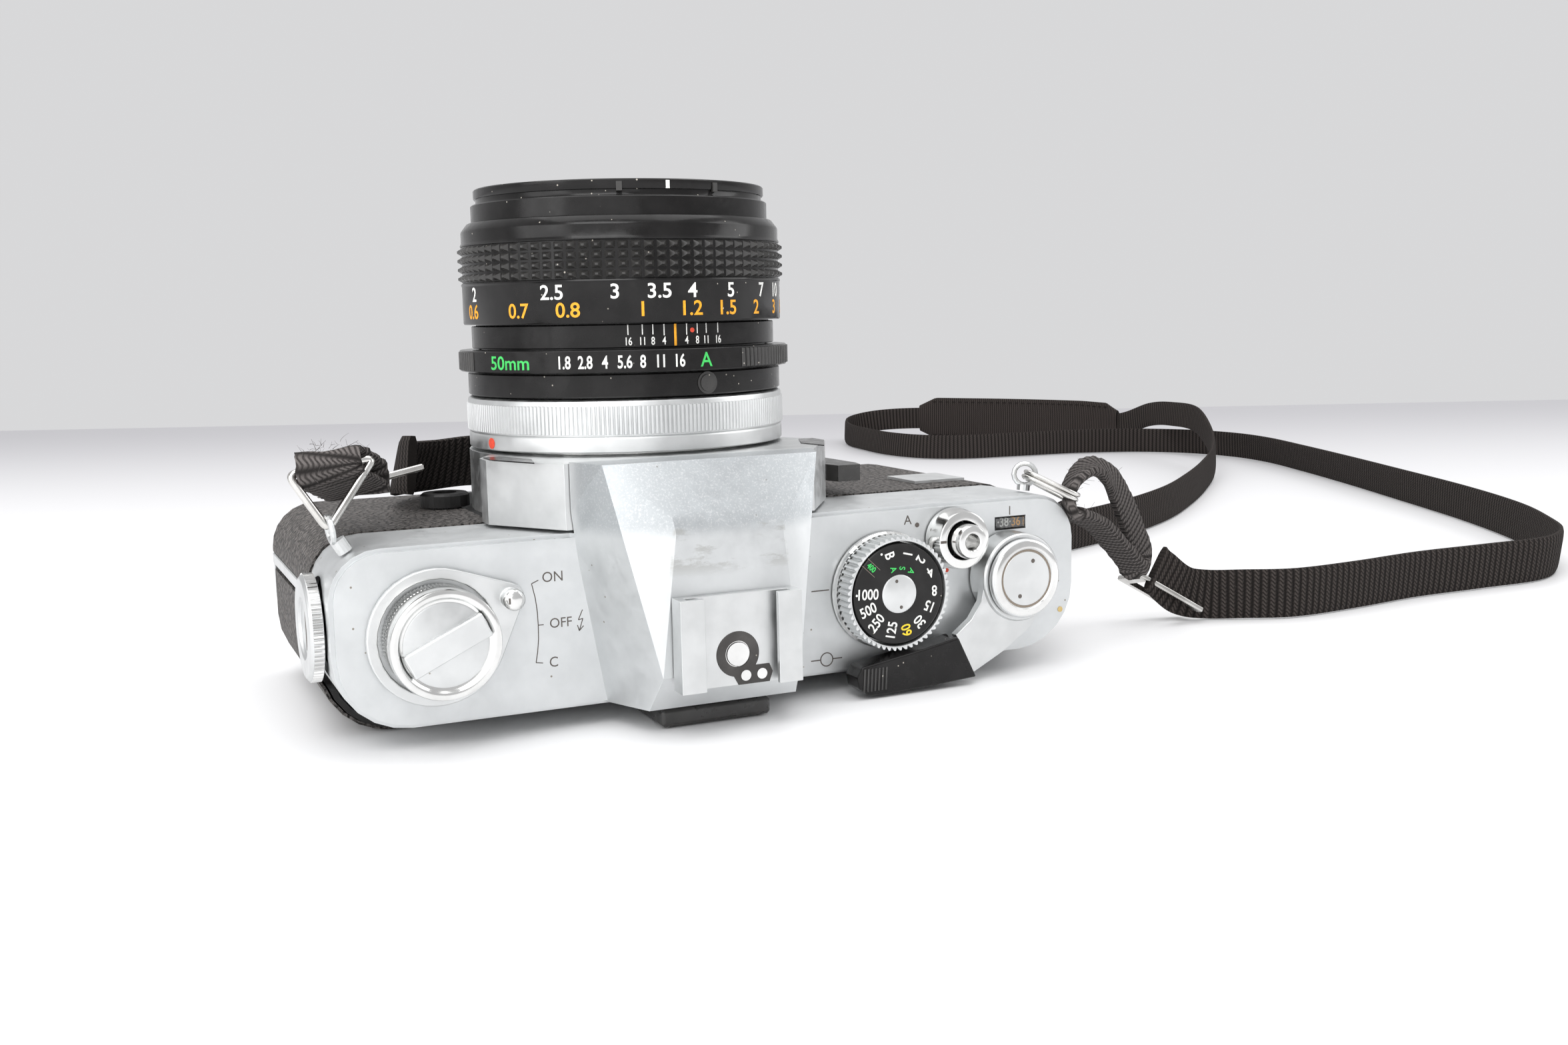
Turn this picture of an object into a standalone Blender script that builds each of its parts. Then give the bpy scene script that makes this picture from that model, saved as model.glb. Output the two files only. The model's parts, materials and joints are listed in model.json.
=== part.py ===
"""A 35 mm single-lens reflex camera with its 50 mm lens and neck strap.

The camera lies on its back door with the lens pointing up.  The script's own
unit is the millimetre; MM turns it into metres.

Frame: +Z is the lens axis, +X points to the shutter-release side, -Y to the
camera's top and +Y to its base.  The origin is where the lens axis meets the
outer face of the back door.  "h" means height above the lens axis, so h = -Y.
"""
import math

import bmesh
import bpy
from mathutils import Euler, Matrix, Vector

MM = 0.001

# ---------------------------------------------------------------- driving sizes
DECK_H = 35.0            # top plate above the lens axis
SKIRT_H = 14.0           # lower edge of the top cover's front wall
REAR_SKIRT_H = 21.0      # lower edge of the top cover's rear wall
BASE_Y = 39.0            # outer face of the base plate
BASE_T = 2.7             # height of the base plate
X_LEFT = -63.0
X_RIGHT = 80.35
Z_REAR = 3.8             # rear edge of the top cover
Z_FRONT = 34.1           # front wall of the top cover
FRONT_R = 8.5            # corner radii of the plan view
REAR_R = 12.5
FILM_Z = 6.9             # film plane
FLANGE_Z = 48.9          # lens seat, 42 mm in front of the film
WALL = 1.0
GAP = 0.3                # between pieces that rest on each other
CASTING_INSET = 2.4      # casting inside the plan outline
CASTING_TOP_INSET = 1.4  # and where it rises inside the top cover
LEATHER_T = 0.9
DOOR_T = 1.0
DOOR_TOP_Y = -20.6
DOOR_BASE_Y = 36.0
REAR_STEP_Z = 8.5        # the door's raised part stays behind this height
DOOR_OUT = 0.25          # the door stands this much outside the plan outline

REWIND = (-46.3, 19.0)   # shaft centres on the top plate, as (x, z)
DIAL = (37.3, 18.9)
RELEASE = (52.0, 27.5)
LEVER = (64.4, 19.4)
CASSETTE_R = 12.9
SPOOL_R = 12.4
SPROCKET = (42.0, 13.4)
SPOOL = (62.9, 18.0)
TRIPOD = (8.7, 19.0)     # (x, z) of the tripod socket in the base
REWIND_BUTTON = (56.0, 19.0)
BATTERY = (-22.0, 20.0)  # (y, z) on the left end
TIMER = (39.5, 6.0)      # (x, y) of the self-timer lever's pivot
HINGE = (79.6, 13.5)     # (x, z) of the door's hinge pin

STRAP_W = 11.0
STRAP_T = 1.5
PAD_W = 22.0
PAD_T = 3.4

# Frames of the faces that pieces are built on: local +Z is the outward normal.
FRONT = Euler((0.0, 0.0, 0.0))
DECK = Euler((math.radians(90), 0.0, 0.0))     # local x, y, z -> X, Z, h
BASE = Euler((math.radians(-90), 0.0, 0.0))    # local x, y, z -> X, -Z, Y
LEFT = Euler((0.0, math.radians(-90), 0.0))    # local x, y, z -> Z, Y, -X


# ---------------------------------------------------------------- scene and helpers
def clear_scene():
    for obj in list(bpy.data.objects):
        bpy.data.objects.remove(obj, do_unlink=True)


def collection(name):
    made = bpy.data.collections.new(name)
    bpy.context.scene.collection.children.link(made)
    return made


clear_scene()
CAMERA = collection("film_camera")
CUTTERS = collection("cutters")
MATERIALS = {}


def material(name, colour, metallic, roughness, alpha=1.0):
    made = bpy.data.materials.new(name)
    made.use_nodes = True
    shader = made.node_tree.nodes["Principled BSDF"]
    shader.inputs["Base Color"].default_value = (*colour, 1.0)
    shader.inputs["Metallic"].default_value = metallic
    shader.inputs["Roughness"].default_value = roughness
    shader.inputs["Alpha"].default_value = alpha
    MATERIALS[name] = made


material("satin_chrome", (0.66, 0.67, 0.67), 1.0, 0.36)
material("bright_chrome", (0.80, 0.80, 0.79), 1.0, 0.14)
material("cast_metal", (0.30, 0.30, 0.31), 0.9, 0.50)
material("black_metal", (0.020, 0.020, 0.021), 0.5, 0.40)
material("black_gloss", (0.012, 0.012, 0.012), 0.2, 0.22)
material("leatherette", (0.030, 0.028, 0.027), 0.0, 0.62)
material("black_plastic", (0.018, 0.018, 0.018), 0.0, 0.38)
material("webbing", (0.035, 0.031, 0.030), 0.0, 0.90)
material("steel_wire", (0.70, 0.69, 0.66), 1.0, 0.22)
material("lens_glass", (0.35, 0.40, 0.52), 0.0, 0.04, 0.35)
material("clear_glass", (0.85, 0.88, 0.88), 0.0, 0.04, 0.35)
material("mirror_silver", (0.90, 0.90, 0.90), 1.0, 0.03)
material("shutter_cloth", (0.030, 0.030, 0.032), 0.0, 0.70)


def finish(obj, colour):
    """Give a piece its material, smooth faces and a place in the camera."""
    obj.data.materials.clear()
    obj.data.materials.append(MATERIALS[colour])
    CAMERA.objects.link(obj)
    obj.data.shade_smooth()
    obj.data.set_sharp_from_angle(angle=math.radians(32))
    return obj


def as_tool(obj):
    """Keep an object as a cutter or a guide, out of the model itself."""
    CUTTERS.objects.link(obj)
    obj.hide_render = True
    obj.display_type = 'WIRE'
    return obj


def place(obj, origin, frame):
    obj.location = Vector(origin) * MM
    obj.rotation_euler = frame
    bpy.context.view_layer.update()
    return obj


def mesh_object(name, bm, origin=(0, 0, 0), frame=FRONT):
    bmesh.ops.recalc_face_normals(bm, faces=bm.faces)
    mesh = bpy.data.meshes.new(name)
    bm.to_mesh(mesh)
    bm.free()
    return place(bpy.data.objects.new(name, mesh), origin, frame)


def box(name, low, high, bevel=0.0, origin=(0, 0, 0), frame=FRONT):
    """A block between two corners, in millimetres of its own frame."""
    bm = bmesh.new()
    bmesh.ops.create_cube(bm, size=1.0)
    low, high = Vector(low) * MM, Vector(high) * MM
    bmesh.ops.scale(bm, vec=high - low, verts=bm.verts)
    bmesh.ops.translate(bm, vec=(low + high) / 2, verts=bm.verts)
    if bevel:
        bmesh.ops.bevel(bm, geom=bm.edges[:], offset=bevel * MM, segments=1,
                        affect='EDGES', profile=0.5)
    return mesh_object(name, bm, origin, frame)


def rod(name, radius, low, high, origin=(0, 0, 0), frame=FRONT, sides=32):
    """A straight round bar along the frame's own Z."""
    bm = bmesh.new()
    bmesh.ops.create_cone(bm, cap_ends=True, segments=sides, radius1=radius * MM,
                          radius2=radius * MM, depth=(high - low) * MM)
    bmesh.ops.translate(bm, vec=(0, 0, (high + low) / 2 * MM), verts=bm.verts)
    return mesh_object(name, bm, origin, frame)


def turned(name, profile, origin=(0, 0, 0), frame=FRONT, sides=48, closed=True):
    """Turn (radius, height) points about the frame's Z.

    The points run down the outer side.  A closed profile makes a ring; an open
    one starts and ends on the axis.
    """
    mesh = bpy.data.meshes.new(name)
    count = len(profile)
    edges = [(i, i + 1) for i in range(count - 1)]
    if closed:
        edges.append((count - 1, 0))
    mesh.from_pydata([(r * MM, 0, z * MM) for r, z in profile], edges, [])
    obj = bpy.data.objects.new(name, mesh)
    screw = obj.modifiers.new("turn", 'SCREW')
    screw.axis = 'Z'
    screw.steps = screw.render_steps = sides
    screw.use_merge_vertices = True
    screw.merge_threshold = 1e-6
    screw.use_smooth_shade = True
    return place(obj, origin, frame)


def arc(cx, cy, radius, start, end, steps):
    """Points along an arc, angles in degrees."""
    angles = [math.radians(start + (end - start) * i / steps) for i in range(steps + 1)]
    return [(cx + radius * math.cos(a), cy + radius * math.sin(a)) for a in angles]


def welded_mesh(curve_object, name):
    """Turn a filled curve into a closed mesh object in the same place."""
    bpy.context.scene.collection.objects.link(curve_object)
    bpy.context.view_layer.update()
    depsgraph = bpy.context.evaluated_depsgraph_get()
    mesh = bpy.data.meshes.new_from_object(curve_object.evaluated_get(depsgraph))
    bm = bmesh.new()
    bm.from_mesh(mesh)
    bmesh.ops.remove_doubles(bm, verts=bm.verts, dist=1e-6)
    bmesh.ops.recalc_face_normals(bm, faces=bm.faces)
    bm.to_mesh(mesh)
    bm.free()
    made = bpy.data.objects.new(name, mesh)
    made.matrix_world = curve_object.matrix_world
    bpy.data.objects.remove(curve_object, do_unlink=True)
    made.name = name
    return made


def outline(name, loops, low, high, origin=(0, 0, 0), frame=FRONT):
    """Extrude flat closed outlines, the first the rim and the others holes."""
    curve = bpy.data.curves.new(name, 'CURVE')
    curve.dimensions = '2D'
    curve.fill_mode = 'BOTH'
    curve.extrude = (high - low) / 2 * MM
    for loop in loops:
        spline = curve.splines.new('POLY')
        spline.points.add(len(loop) - 1)
        for point, (x, y) in zip(spline.points, loop):
            point.co = (x * MM, y * MM, 0.0, 1.0)
        spline.use_cyclic_u = True
    obj = bpy.data.objects.new(name, curve)
    shift = Matrix.Translation((0, 0, (high + low) / 2 * MM))
    obj.matrix_world = (Matrix.Translation(Vector(origin) * MM)
                        @ frame.to_matrix().to_4x4() @ shift)
    return welded_mesh(obj, name)


def raised(name, loops, y_low, y_high):
    """Extrude outlines drawn in (x, z) between two Y levels."""
    return outline(name, loops, -y_high, -y_low, frame=DECK)


def hull(name, points):
    """The convex solid through corner points given as (x, h, z)."""
    bm = bmesh.new()
    for x, h, z in points:
        bm.verts.new(Vector((x, -h, z)) * MM)
    bmesh.ops.convex_hull(bm, input=bm.verts)
    loose = [v for v in bm.verts if not v.link_faces]
    bmesh.ops.delete(bm, geom=loose, context='VERTS')
    bmesh.ops.dissolve_limit(bm, angle_limit=0.01, verts=bm.verts, edges=bm.edges)
    return mesh_object(name, bm)


def wire(name, points, radius, cyclic=False, resolution=2):
    """A round wire through points in the model's frame."""
    curve = bpy.data.curves.new(name, 'CURVE')
    curve.dimensions = '3D'
    curve.bevel_depth = radius * MM
    curve.bevel_resolution = resolution
    curve.use_fill_caps = not cyclic
    spline = curve.splines.new('POLY')
    spline.points.add(len(points) - 1)
    for point, co in zip(spline.points, points):
        point.co = (*(Vector(co) * MM), 1.0)
    spline.use_cyclic_u = cyclic
    return welded_mesh(bpy.data.objects.new(name, curve), name)


def boolean(obj, tool, operation):
    modifier = obj.modifiers.new(tool.name, 'BOOLEAN')
    modifier.operation = operation
    modifier.solver = 'EXACT'
    modifier.object = as_tool(tool)


def cut(obj, *tools):
    for tool in tools:
        boolean(obj, tool, 'DIFFERENCE')
    return obj


def join(obj, *tools):
    for tool in tools:
        boolean(obj, tool, 'UNION')
    return obj


def deck(x, z, h=DECK_H):
    """A point of the top plate as an origin."""
    return (x, -h, z)


# ---------------------------------------------------------------- plan outline
def plan(inset=0.0, z_rear=Z_REAR, corner_steps=6):
    """The body's rounded plan in (x, z), pulled in by an inset."""
    left, right = X_LEFT + inset, X_RIGHT - inset
    rear, front = z_rear + inset, Z_FRONT - inset
    rr, fr = REAR_R - inset, FRONT_R - inset
    return (arc(right - rr, rear + rr, rr, -90, 0, corner_steps)
            + arc(right - fr, front - fr, fr, 0, 90, corner_steps)
            + arc(left + fr, front - fr, fr, 90, 180, corner_steps)
            + arc(left + rr, rear + rr, rr, 180, 270, corner_steps))


# ---------------------------------------------------------------- body
def body_casting():
    """Die-cast frame with the film chambers, the gate and the mirror's room."""
    obj = raised("body_casting", [plan(CASTING_INSET, 0.0)], -SKIRT_H + GAP, DOOR_BASE_Y)
    join(obj, raised("casting_neck", [plan(4.0)], -SKIRT_H - 1.0, -SKIRT_H + 1.0),
         raised("casting_top", [plan(CASTING_TOP_INSET)], -REAR_SKIRT_H, -SKIRT_H))
    low, high = -33.0, 19.0
    for name, (x, z), radius in (("cassette", REWIND, CASSETTE_R), ("spool", SPOOL, SPOOL_R)):
        mouth = radius - 0.2
        cut(obj, rod("cut_" + name, radius, low, high, (x, 0, z), DECK, 36),
            box("cut_mouth_" + name, (x - mouth, -high, -2), (x + mouth, -low, z)))
    x, z = SPROCKET
    cut(obj, rod("cut_sprocket", 6.9, -18.5, 18.5, (x, 0, z), DECK, 24),
        box("cut_sprocket_mouth", (x - 6.7, -18.5, -2), (x + 6.7, 18.5, z)),
        rod("cut_sprocket_shaft", 2.2, -20.9, 22, (x, 0, z), DECK, 20),
        box("cut_film_path", (X_LEFT + 5, -18.7, -2), (X_RIGHT - 5, 18.7, FILM_Z)),
        box("cut_gate", (-18, -12, 0), (18, 12, 14)),
        box("cut_curtain_pocket", (-22.4, -15.2, 9.1), (22.4, 15.2, 11.6)),
        box("cut_mirror_room", (-20.2, -19.5, 11.0), (20.2, 17.3, 40.0)),
        box("cut_screen_room", (-20.2, -30.0, 12.4), (20.2, -15.0, 40.0)),
        rod("cut_rewind_shaft", 3.0, 10, 30, deck(*REWIND, 0), DECK, 20),
        rod("cut_battery", 8.5, 0.0, 4.5, (X_LEFT + 3.1, *BATTERY), LEFT, 32),
        rod("cut_tripod", 6.6, 29.5, 40, (TRIPOD[0], 0, TRIPOD[1]), BASE, 28),
        rod("cut_rewind_button", 3.4, 34, 40, (REWIND_BUTTON[0], 0, REWIND_BUTTON[1]), BASE, 20),
        box("cut_hinge_room", (HINGE[0] - 3.2, -24, -2), (HINGE[0] + 5, 38, HINGE[1] + 3.2)))
    return finish(obj, "cast_metal")


def prism_points(shrink=0.0, foot_h=DECK_H):
    """Corners of the prism housing on the top plate, as (x, h, z)."""
    s = shrink
    half = [(21.0 - s, foot_h, Z_FRONT - 1.0), (18.3 - s, foot_h, Z_REAR + 0.3 + s),
            (23.6 - s, foot_h, 35.0), (23.6 - s, foot_h, 46.3 - s),
            (19.6 - s, 43.6 - s, 46.3 - s), (9.9 - 0.7 * s, 49.4 - s, 38.2 - 0.5 * s),
            (9.6 - 0.7 * s, 50.6 - s, 35.0 - s), (12.6 - 0.9 * s, 50.6 - s, 11.0 + s),
            (13.6 - 0.9 * s, 46.0 - s, 4.6 + s)]
    return [(side * x, h, z) for x, h, z in half for side in (-1, 1)]


def top_cover():
    """One stamped shell: top plate, walls and prism housing."""
    chamfer = 1.1
    obj = outline("top_cover", [plan()], SKIRT_H, DECK_H - chamfer, frame=DECK)
    shell_low = box("rear_skirt_relief", (X_LEFT - 2, -REAR_SKIRT_H, -2),
                    (X_RIGHT + 2, 0, REAR_STEP_Z + 0.3))
    lid = outline("cover_lid", [plan(chamfer * 0.6)], DECK_H - chamfer - 0.2, DECK_H, frame=DECK)
    inner = outline("cover_hollow", [plan(WALL)], 0.0, DECK_H - WALL, frame=DECK)
    join(obj, lid, hull("cover_prism", prism_points(0.0, DECK_H - 3)))
    cut(obj, inner, hull("cover_prism_hollow", prism_points(WALL, DECK_H - 6)), shell_low,
        box("cut_front_gap", (-21.5, -DECK_H + 0.1, 20), (21.5, 0, 60)),
        box("cut_prism_front", (-25, -DECK_H, Z_FRONT + 0.05), (25, -DECK_H + 3.4, 60)),
        rod("hole_rewind", 2.7, 30, 40, deck(*REWIND, 0), DECK, 24),
        rod("hole_dial", 2.7, 30, 40, deck(*DIAL, 0), DECK, 24),
        rod("hole_release", 3.75, 30, 40, deck(*RELEASE, 0), DECK, 24),
        rod("hole_lever", 3.7, 30, 40, deck(*LEVER, 0), DECK, 24),
        box("hole_counter", (61.8, -40, 28.0), (68.8, -30, 30.5)),
        box("hole_eyepiece", (-7.5, -41.0, 0), (7.5, -31.0, 12)),
        rod("hole_battery", 8.5, -2, 3, (X_LEFT, *BATTERY), LEFT, 32))
    return finish(obj, "satin_chrome")


def base_plate():
    obj = raised("base_plate", [plan(0.0)], DOOR_BASE_Y + GAP, BASE_Y - 0.8)
    join(obj, raised("base_face", [plan(0.9)], BASE_Y - 1.0, BASE_Y))
    cut(obj, rod("hole_tripod", 6.4, 20, 50, (TRIPOD[0], 0, TRIPOD[1]), BASE),
        rod("hole_rewind_button", 3.4, 20, 50, (REWIND_BUTTON[0], 0, REWIND_BUTTON[1]), BASE, 24))
    return finish(obj, "satin_chrome")


def front_covering(name, side):
    """Leather that wraps the front and one end of the body."""
    outset = 0.25
    front = Z_FRONT + outset
    end_x = (X_LEFT - outset) if side < 0 else (X_RIGHT + outset)
    edge_x = -30.8 if side < 0 else 30.8
    end_z = 25.0 if side < 0 else 17.5
    centre_x = end_x - side * FRONT_R
    centre_z = front - FRONT_R
    turn = (90, 180) if side < 0 else (90, 0)
    outer = [(edge_x, front)] + arc(centre_x, centre_z, FRONT_R, *turn, 6) + [(end_x, end_z)]
    inner = ([(edge_x, front - LEATHER_T)]
             + arc(centre_x, centre_z, FRONT_R - LEATHER_T, *turn, 6)
             + [(end_x - side * LEATHER_T, end_z)])
    obj = raised(name, [outer + inner[::-1]], -SKIRT_H + GAP, DOOR_BASE_Y)
    if side > 0:
        cut(obj, rod("hole_timer_shaft", 3.0, 30, 40, (*TIMER, 0), FRONT, 24))
    return finish(obj, "leatherette")


# ---------------------------------------------------------------- back door
def door_path(outset, left_top, right_angle, steps=6):
    """The door's section in (x, z): left flank, flat back, right corner."""
    left, right = X_LEFT - DOOR_OUT + outset, X_RIGHT + DOOR_OUT - outset
    radius = REAR_R - outset
    rear = outset
    return ([(left, left_top)]
            + arc(left + radius, rear + radius, radius, 180, 270, steps)
            + arc(right - radius, rear + radius, radius, 270, 270 + right_angle, steps))


def door_step(name):
    """Room for the top cover's left wall, which reaches lower than its rear wall."""
    return box(name, (X_LEFT - 3, -30, REAR_STEP_Z), (X_LEFT + 8, -SKIRT_H + GAP, 40))


def back_door():
    skin = 0.8
    outer = door_path(skin, 22.0, 62)
    inner = door_path(skin + DOOR_T, 22.0, 62)
    obj = raised("back_door", [outer + inner[::-1]], DOOR_TOP_Y, DOOR_BASE_Y)
    hinge_x, hinge_z = HINGE
    cut(obj, door_step("door_step"))
    arm = raised("door_arm", [[(hinge_x - x, hinge_z - z) for x, z in
                               ((3.0, 7.6), (1.5, 6.3), (0.6, 4.3), (0.6, 0.0), (2.8, 0.0))]],
                 -13.0, 34.0)
    barrel = rod("door_barrel", 2.0, -34.0, 13.0, (hinge_x, 0, hinge_z), DECK, 20)
    join(obj, arm, barrel)
    cut(obj, rod("door_pin_hole", 1.25, -40, 25, (hinge_x, 0, hinge_z), DECK, 20))
    return finish(obj, "black_metal")


def door_leather():
    outer = door_path(0.0, 21.6, 55)
    inner = door_path(0.5, 21.6, 55)
    obj = raised("door_leather", [outer + inner[::-1]], DOOR_TOP_Y + 1.6, DOOR_BASE_Y - 1.6)
    cut(obj, door_step("leather_step"))
    return finish(obj, "leatherette")


def door_strip():
    """Bright strip along the door's closing edge on the left end."""
    left = X_LEFT - DOOR_OUT
    obj = box("door_edge_strip", (left - 0.1, -SKIRT_H + GAP, 22.5), (left + 2.2, DOOR_BASE_Y, 24.7), 0.2)
    return finish(obj, "satin_chrome")


def pressure_plate():
    obj = box("pressure_plate", (-30, -17.5, 5.5), (30, 17.5, 6.6), 0.3)
    return finish(obj, "black_metal")


def hinge_pin():
    obj = rod("door_hinge_pin", 0.85, -35.8, 13.7, (HINGE[0], 0, HINGE[1]), DECK, 16)
    return finish(obj, "steel_wire")


# ---------------------------------------------------------------- mirror box and viewfinder
def front_plate():
    """Shouldered front of the mirror housing, with a round throat."""
    radius, shoulder_x = 30.2, 33.0
    points = ([(23.4, DECK_H - GAP), (shoulder_x, 20.0), (shoulder_x, 15.5)]
              + arc(0, 0, radius, 16, -196, 22)
              + [(-shoulder_x, 15.5), (-shoulder_x, 20.0), (-23.4, DECK_H - GAP)])
    obj = outline("front_plate", [[(x, -h) for x, h in points]], Z_FRONT + 0.55, 46.0)
    cut(obj, rod("hole_throat", 23.2, 30, 50, sides=48),
        rod("seat_recess", 27.2, 44.4, 50, sides=48),
        box("hole_front_gap", (-20.2, -17.3, 30), (20.2, 17.3, 42.5)),
        box("hole_prism_gap", (-18.5, -40, 30), (18.5, -16.0, 43.0)))
    return finish(obj, "satin_chrome")


def body_mount_ring():
    profile = [(22.0, FLANGE_Z), (26.2, FLANGE_Z), (26.2, 44.8), (22.0, 44.8)]
    return finish(turned("body_mount_ring", profile), "bright_chrome")


def mirror_box():
    obj = box("mirror_box", (-19.8, -17.0, 12.6), (19.8, 16.9, 42.0))
    cut(obj, box("mirror_box_hollow", (-18.6, -20, 10), (18.6, 15.6, 45)))
    return finish(obj, "black_metal")


MIRROR_AXIS = (-15.4, 14.6)      # (y, z) of the mirror's hinge
MIRROR_LENGTH = 28.0


def reflex_mirror():
    """The mirror at 45 degrees, with its origin on its hinge."""
    tilt = Euler((math.radians(45), 0.0, 0.0))
    obj = box("reflex_mirror", (-17.6, 0.9, -1.2), (17.6, MIRROR_LENGTH, 0.0),
              origin=(0, *MIRROR_AXIS), frame=tilt)
    return finish(obj, "mirror_silver")


def focusing_screen():
    obj = box("focusing_screen", (-17.6, -19.1, 14.6), (17.6, -17.5, 41.4), 0.2)
    return finish(obj, "clear_glass")


def pentaprism():
    half = [(15.0, 19.6, 14.6), (15.0, 19.6, 41.0), (14.6, 33.0, 12.0), (13.5, 38.0, 41.0),
            (6.0, 47.5, 33.0), (7.0, 46.5, 13.5), (13.0, 38.0, 12.0)]
    obj = hull("pentaprism", [(side * x, h, z) for x, h, z in half for side in (-1, 1)])
    return finish(obj, "clear_glass")


def eyepiece_frame():
    obj = box("eyepiece_frame", (-10.2, -42.8, 0.35), (10.2, -27.5, 3.45), 0.5)
    cut(obj, box("eyepiece_window", (-7.0, -40.5, -2), (7.0, -31.5, 6), 0.6))
    return finish(obj, "black_plastic")


def eyepiece_lens():
    obj = box("eyepiece_lens", (-7.1, -40.6, 5.4), (7.1, -31.4, 7.4), 0.4)
    return finish(obj, "clear_glass")


def shutter_curtain():
    obj = box("shutter_curtain", (-22.0, -14.8, 9.8), (22.0, 14.8, 10.4))
    return finish(obj, "shutter_cloth")


# ---------------------------------------------------------------- film transport
def take_up_spool():
    profile = [(0, 17.5), (8.6, 17.5), (8.6, 16.0), (6.4, 15.4), (6.4, -28.4), (8.6, -29.0),
               (8.6, -30.5), (0, -30.5)]
    obj = turned("take_up_spool", profile, (SPOOL[0], 0, SPOOL[1]), DECK, 24, closed=False)
    return finish(obj, "black_plastic")


def sprocket():
    profile = [(0, 20.6), (1.8, 20.6), (1.8, 17.0), (4.9, 16.6), (5.4, 14.6), (4.6, 13.6),
               (4.6, -13.6), (5.4, -14.6), (4.9, -16.6), (1.8, -17.0), (1.8, -20.6), (0, -20.6)]
    obj = turned("sprocket", profile, (SPROCKET[0], 0, SPROCKET[1]), DECK, 16, closed=False)
    return finish(obj, "steel_wire")


# ---------------------------------------------------------------- rewind side
def meter_switch():
    """Ring under the rewind knob with a tab and a stub to push."""
    cx, cz = REWIND
    stub_x, stub_z = -34.0 - cx, 24.5 - cz
    reach = math.hypot(stub_x, stub_z)
    heading = math.degrees(math.atan2(stub_z, stub_x))
    ring_r, stub_r = 11.5, 2.4
    opening = math.degrees(math.acos((ring_r - stub_r) / reach))
    rim = (arc(stub_x, stub_z, stub_r, heading - opening, heading + opening, 6)
           + arc(0, 0, ring_r, heading + opening, heading + 360 - opening, 30))
    obj = outline("meter_switch", [rim, arc(0, 0, 9.7, 360, 12, 29)], 0.35, 1.6, deck(cx, cz), DECK)
    join(obj, rod("switch_stub", 1.6, 1.2, 4.0, deck(-34.0, 24.5), DECK, 16))
    return finish(obj, "bright_chrome")


KNOB_RIM = 8.4           # top of the rewind knob's rim above the top plate
CRANK_ANGLE = 25.4       # bar's direction on the top plate, degrees from +X
CRANK_REACH = 6.9


def rewind_knob():
    profile = [(0, KNOB_RIM - 0.6), (7.5, KNOB_RIM - 0.6), (7.8, KNOB_RIM), (8.7, KNOB_RIM),
               (9.1, KNOB_RIM - 0.5), (9.1, 4.6), (8.7, 3.9), (8.7, 0.4), (2.6, 0.4), (2.6, -2.0),
               (0, -2.0)]
    obj = turned("rewind_knob", profile, deck(*REWIND), DECK, 40, closed=False)
    return finish(obj, "bright_chrome")


def rewind_shaft():
    obj = rod("rewind_shaft", 2.2, 13.0, 32.6, deck(*REWIND, 0), DECK, 20)
    join(obj, box("rewind_fork", (-4.2, -0.7, 9.5), (4.2, 0.7, 14.5), 0.0, deck(*REWIND, 0), DECK))
    return finish(obj, "steel_wire")


def rewind_crank():
    """Folding bar with its origin at the hinge end."""
    turn = DECK.to_matrix() @ Matrix.Rotation(math.radians(CRANK_ANGLE), 3, 'Z')
    pivot = (REWIND[0] + CRANK_REACH * math.cos(math.radians(CRANK_ANGLE)),
             REWIND[1] + CRANK_REACH * math.sin(math.radians(CRANK_ANGLE)))
    width, thick, lift = 2.1, 1.2, KNOB_RIM - 0.3
    origin = (pivot[0], -DECK_H - lift - 0.9, pivot[1])
    obj = box("rewind_crank", (-2 * CRANK_REACH, -width, -0.9), (0.2, width, thick - 0.9), 0.2,
              origin, turn.to_euler())
    return finish(obj, "bright_chrome")


# ---------------------------------------------------------------- hot shoe
def hot_shoe():
    outer, inner, lip = 10.9, 9.4, 6.6
    bottom, floor, lip_low, top = 50.95, 52.5, 53.9, 54.9
    half = [(outer, bottom), (outer, top), (lip, top), (lip, lip_low), (inner, lip_low),
            (inner, floor)]
    section = half + [(-x, h) for x, h in half[::-1]]
    obj = outline("hot_shoe", [[(x, -h) for x, h in section]], 8.9, 24.5)
    cut(obj, rod("contact_hole", 3.2, 50, 60, deck(0.0, 14.2, 0), DECK, 24))
    return finish(obj, "satin_chrome")


def shoe_contact():
    profile = [(0, 52.7), (2.0, 52.7), (2.1, 52.45), (2.8, 52.4), (2.8, 51.0), (0, 51.0)]
    obj = turned("shoe_contact", profile, deck(0.0, 14.2, 0), DECK, 24, closed=False)
    return finish(obj, "bright_chrome")


# ---------------------------------------------------------------- release side
def dial_skirt():
    profile = [(10.6, 1.5), (10.95, 1.1), (10.95, 0.35), (3.2, 0.35), (3.2, 1.5)]
    return finish(turned("dial_skirt", profile, deck(*DIAL), DECK, 40), "bright_chrome")


def speed_ring():
    """Outer ring of the shutter dial, lifted to set the film speed."""
    profile = [(9.75, 6.0), (10.3, 6.0), (10.5, 5.6), (10.5, 1.85), (9.75, 1.85)]
    return finish(turned("film_speed_ring", profile, deck(*DIAL), DECK, 40), "bright_chrome")


def speed_dial():
    profile = [(0, 6.2), (3.4, 6.2), (3.7, 5.9), (9.2, 5.9), (9.35, 5.7), (9.35, 1.85), (2.2, 1.85),
               (2.2, -3.5), (0, -3.5)]
    obj = turned("shutter_speed_dial", profile, deck(*DIAL), DECK, 40, closed=False)
    return finish(obj, "black_metal")


def release_collar():
    profile = [(3.75, 5.0), (5.2, 5.0), (5.5, 4.6), (5.75, 0.35), (3.75, 0.35)]
    return finish(turned("release_lock_collar", profile, deck(*RELEASE), DECK, 32), "bright_chrome")


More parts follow.
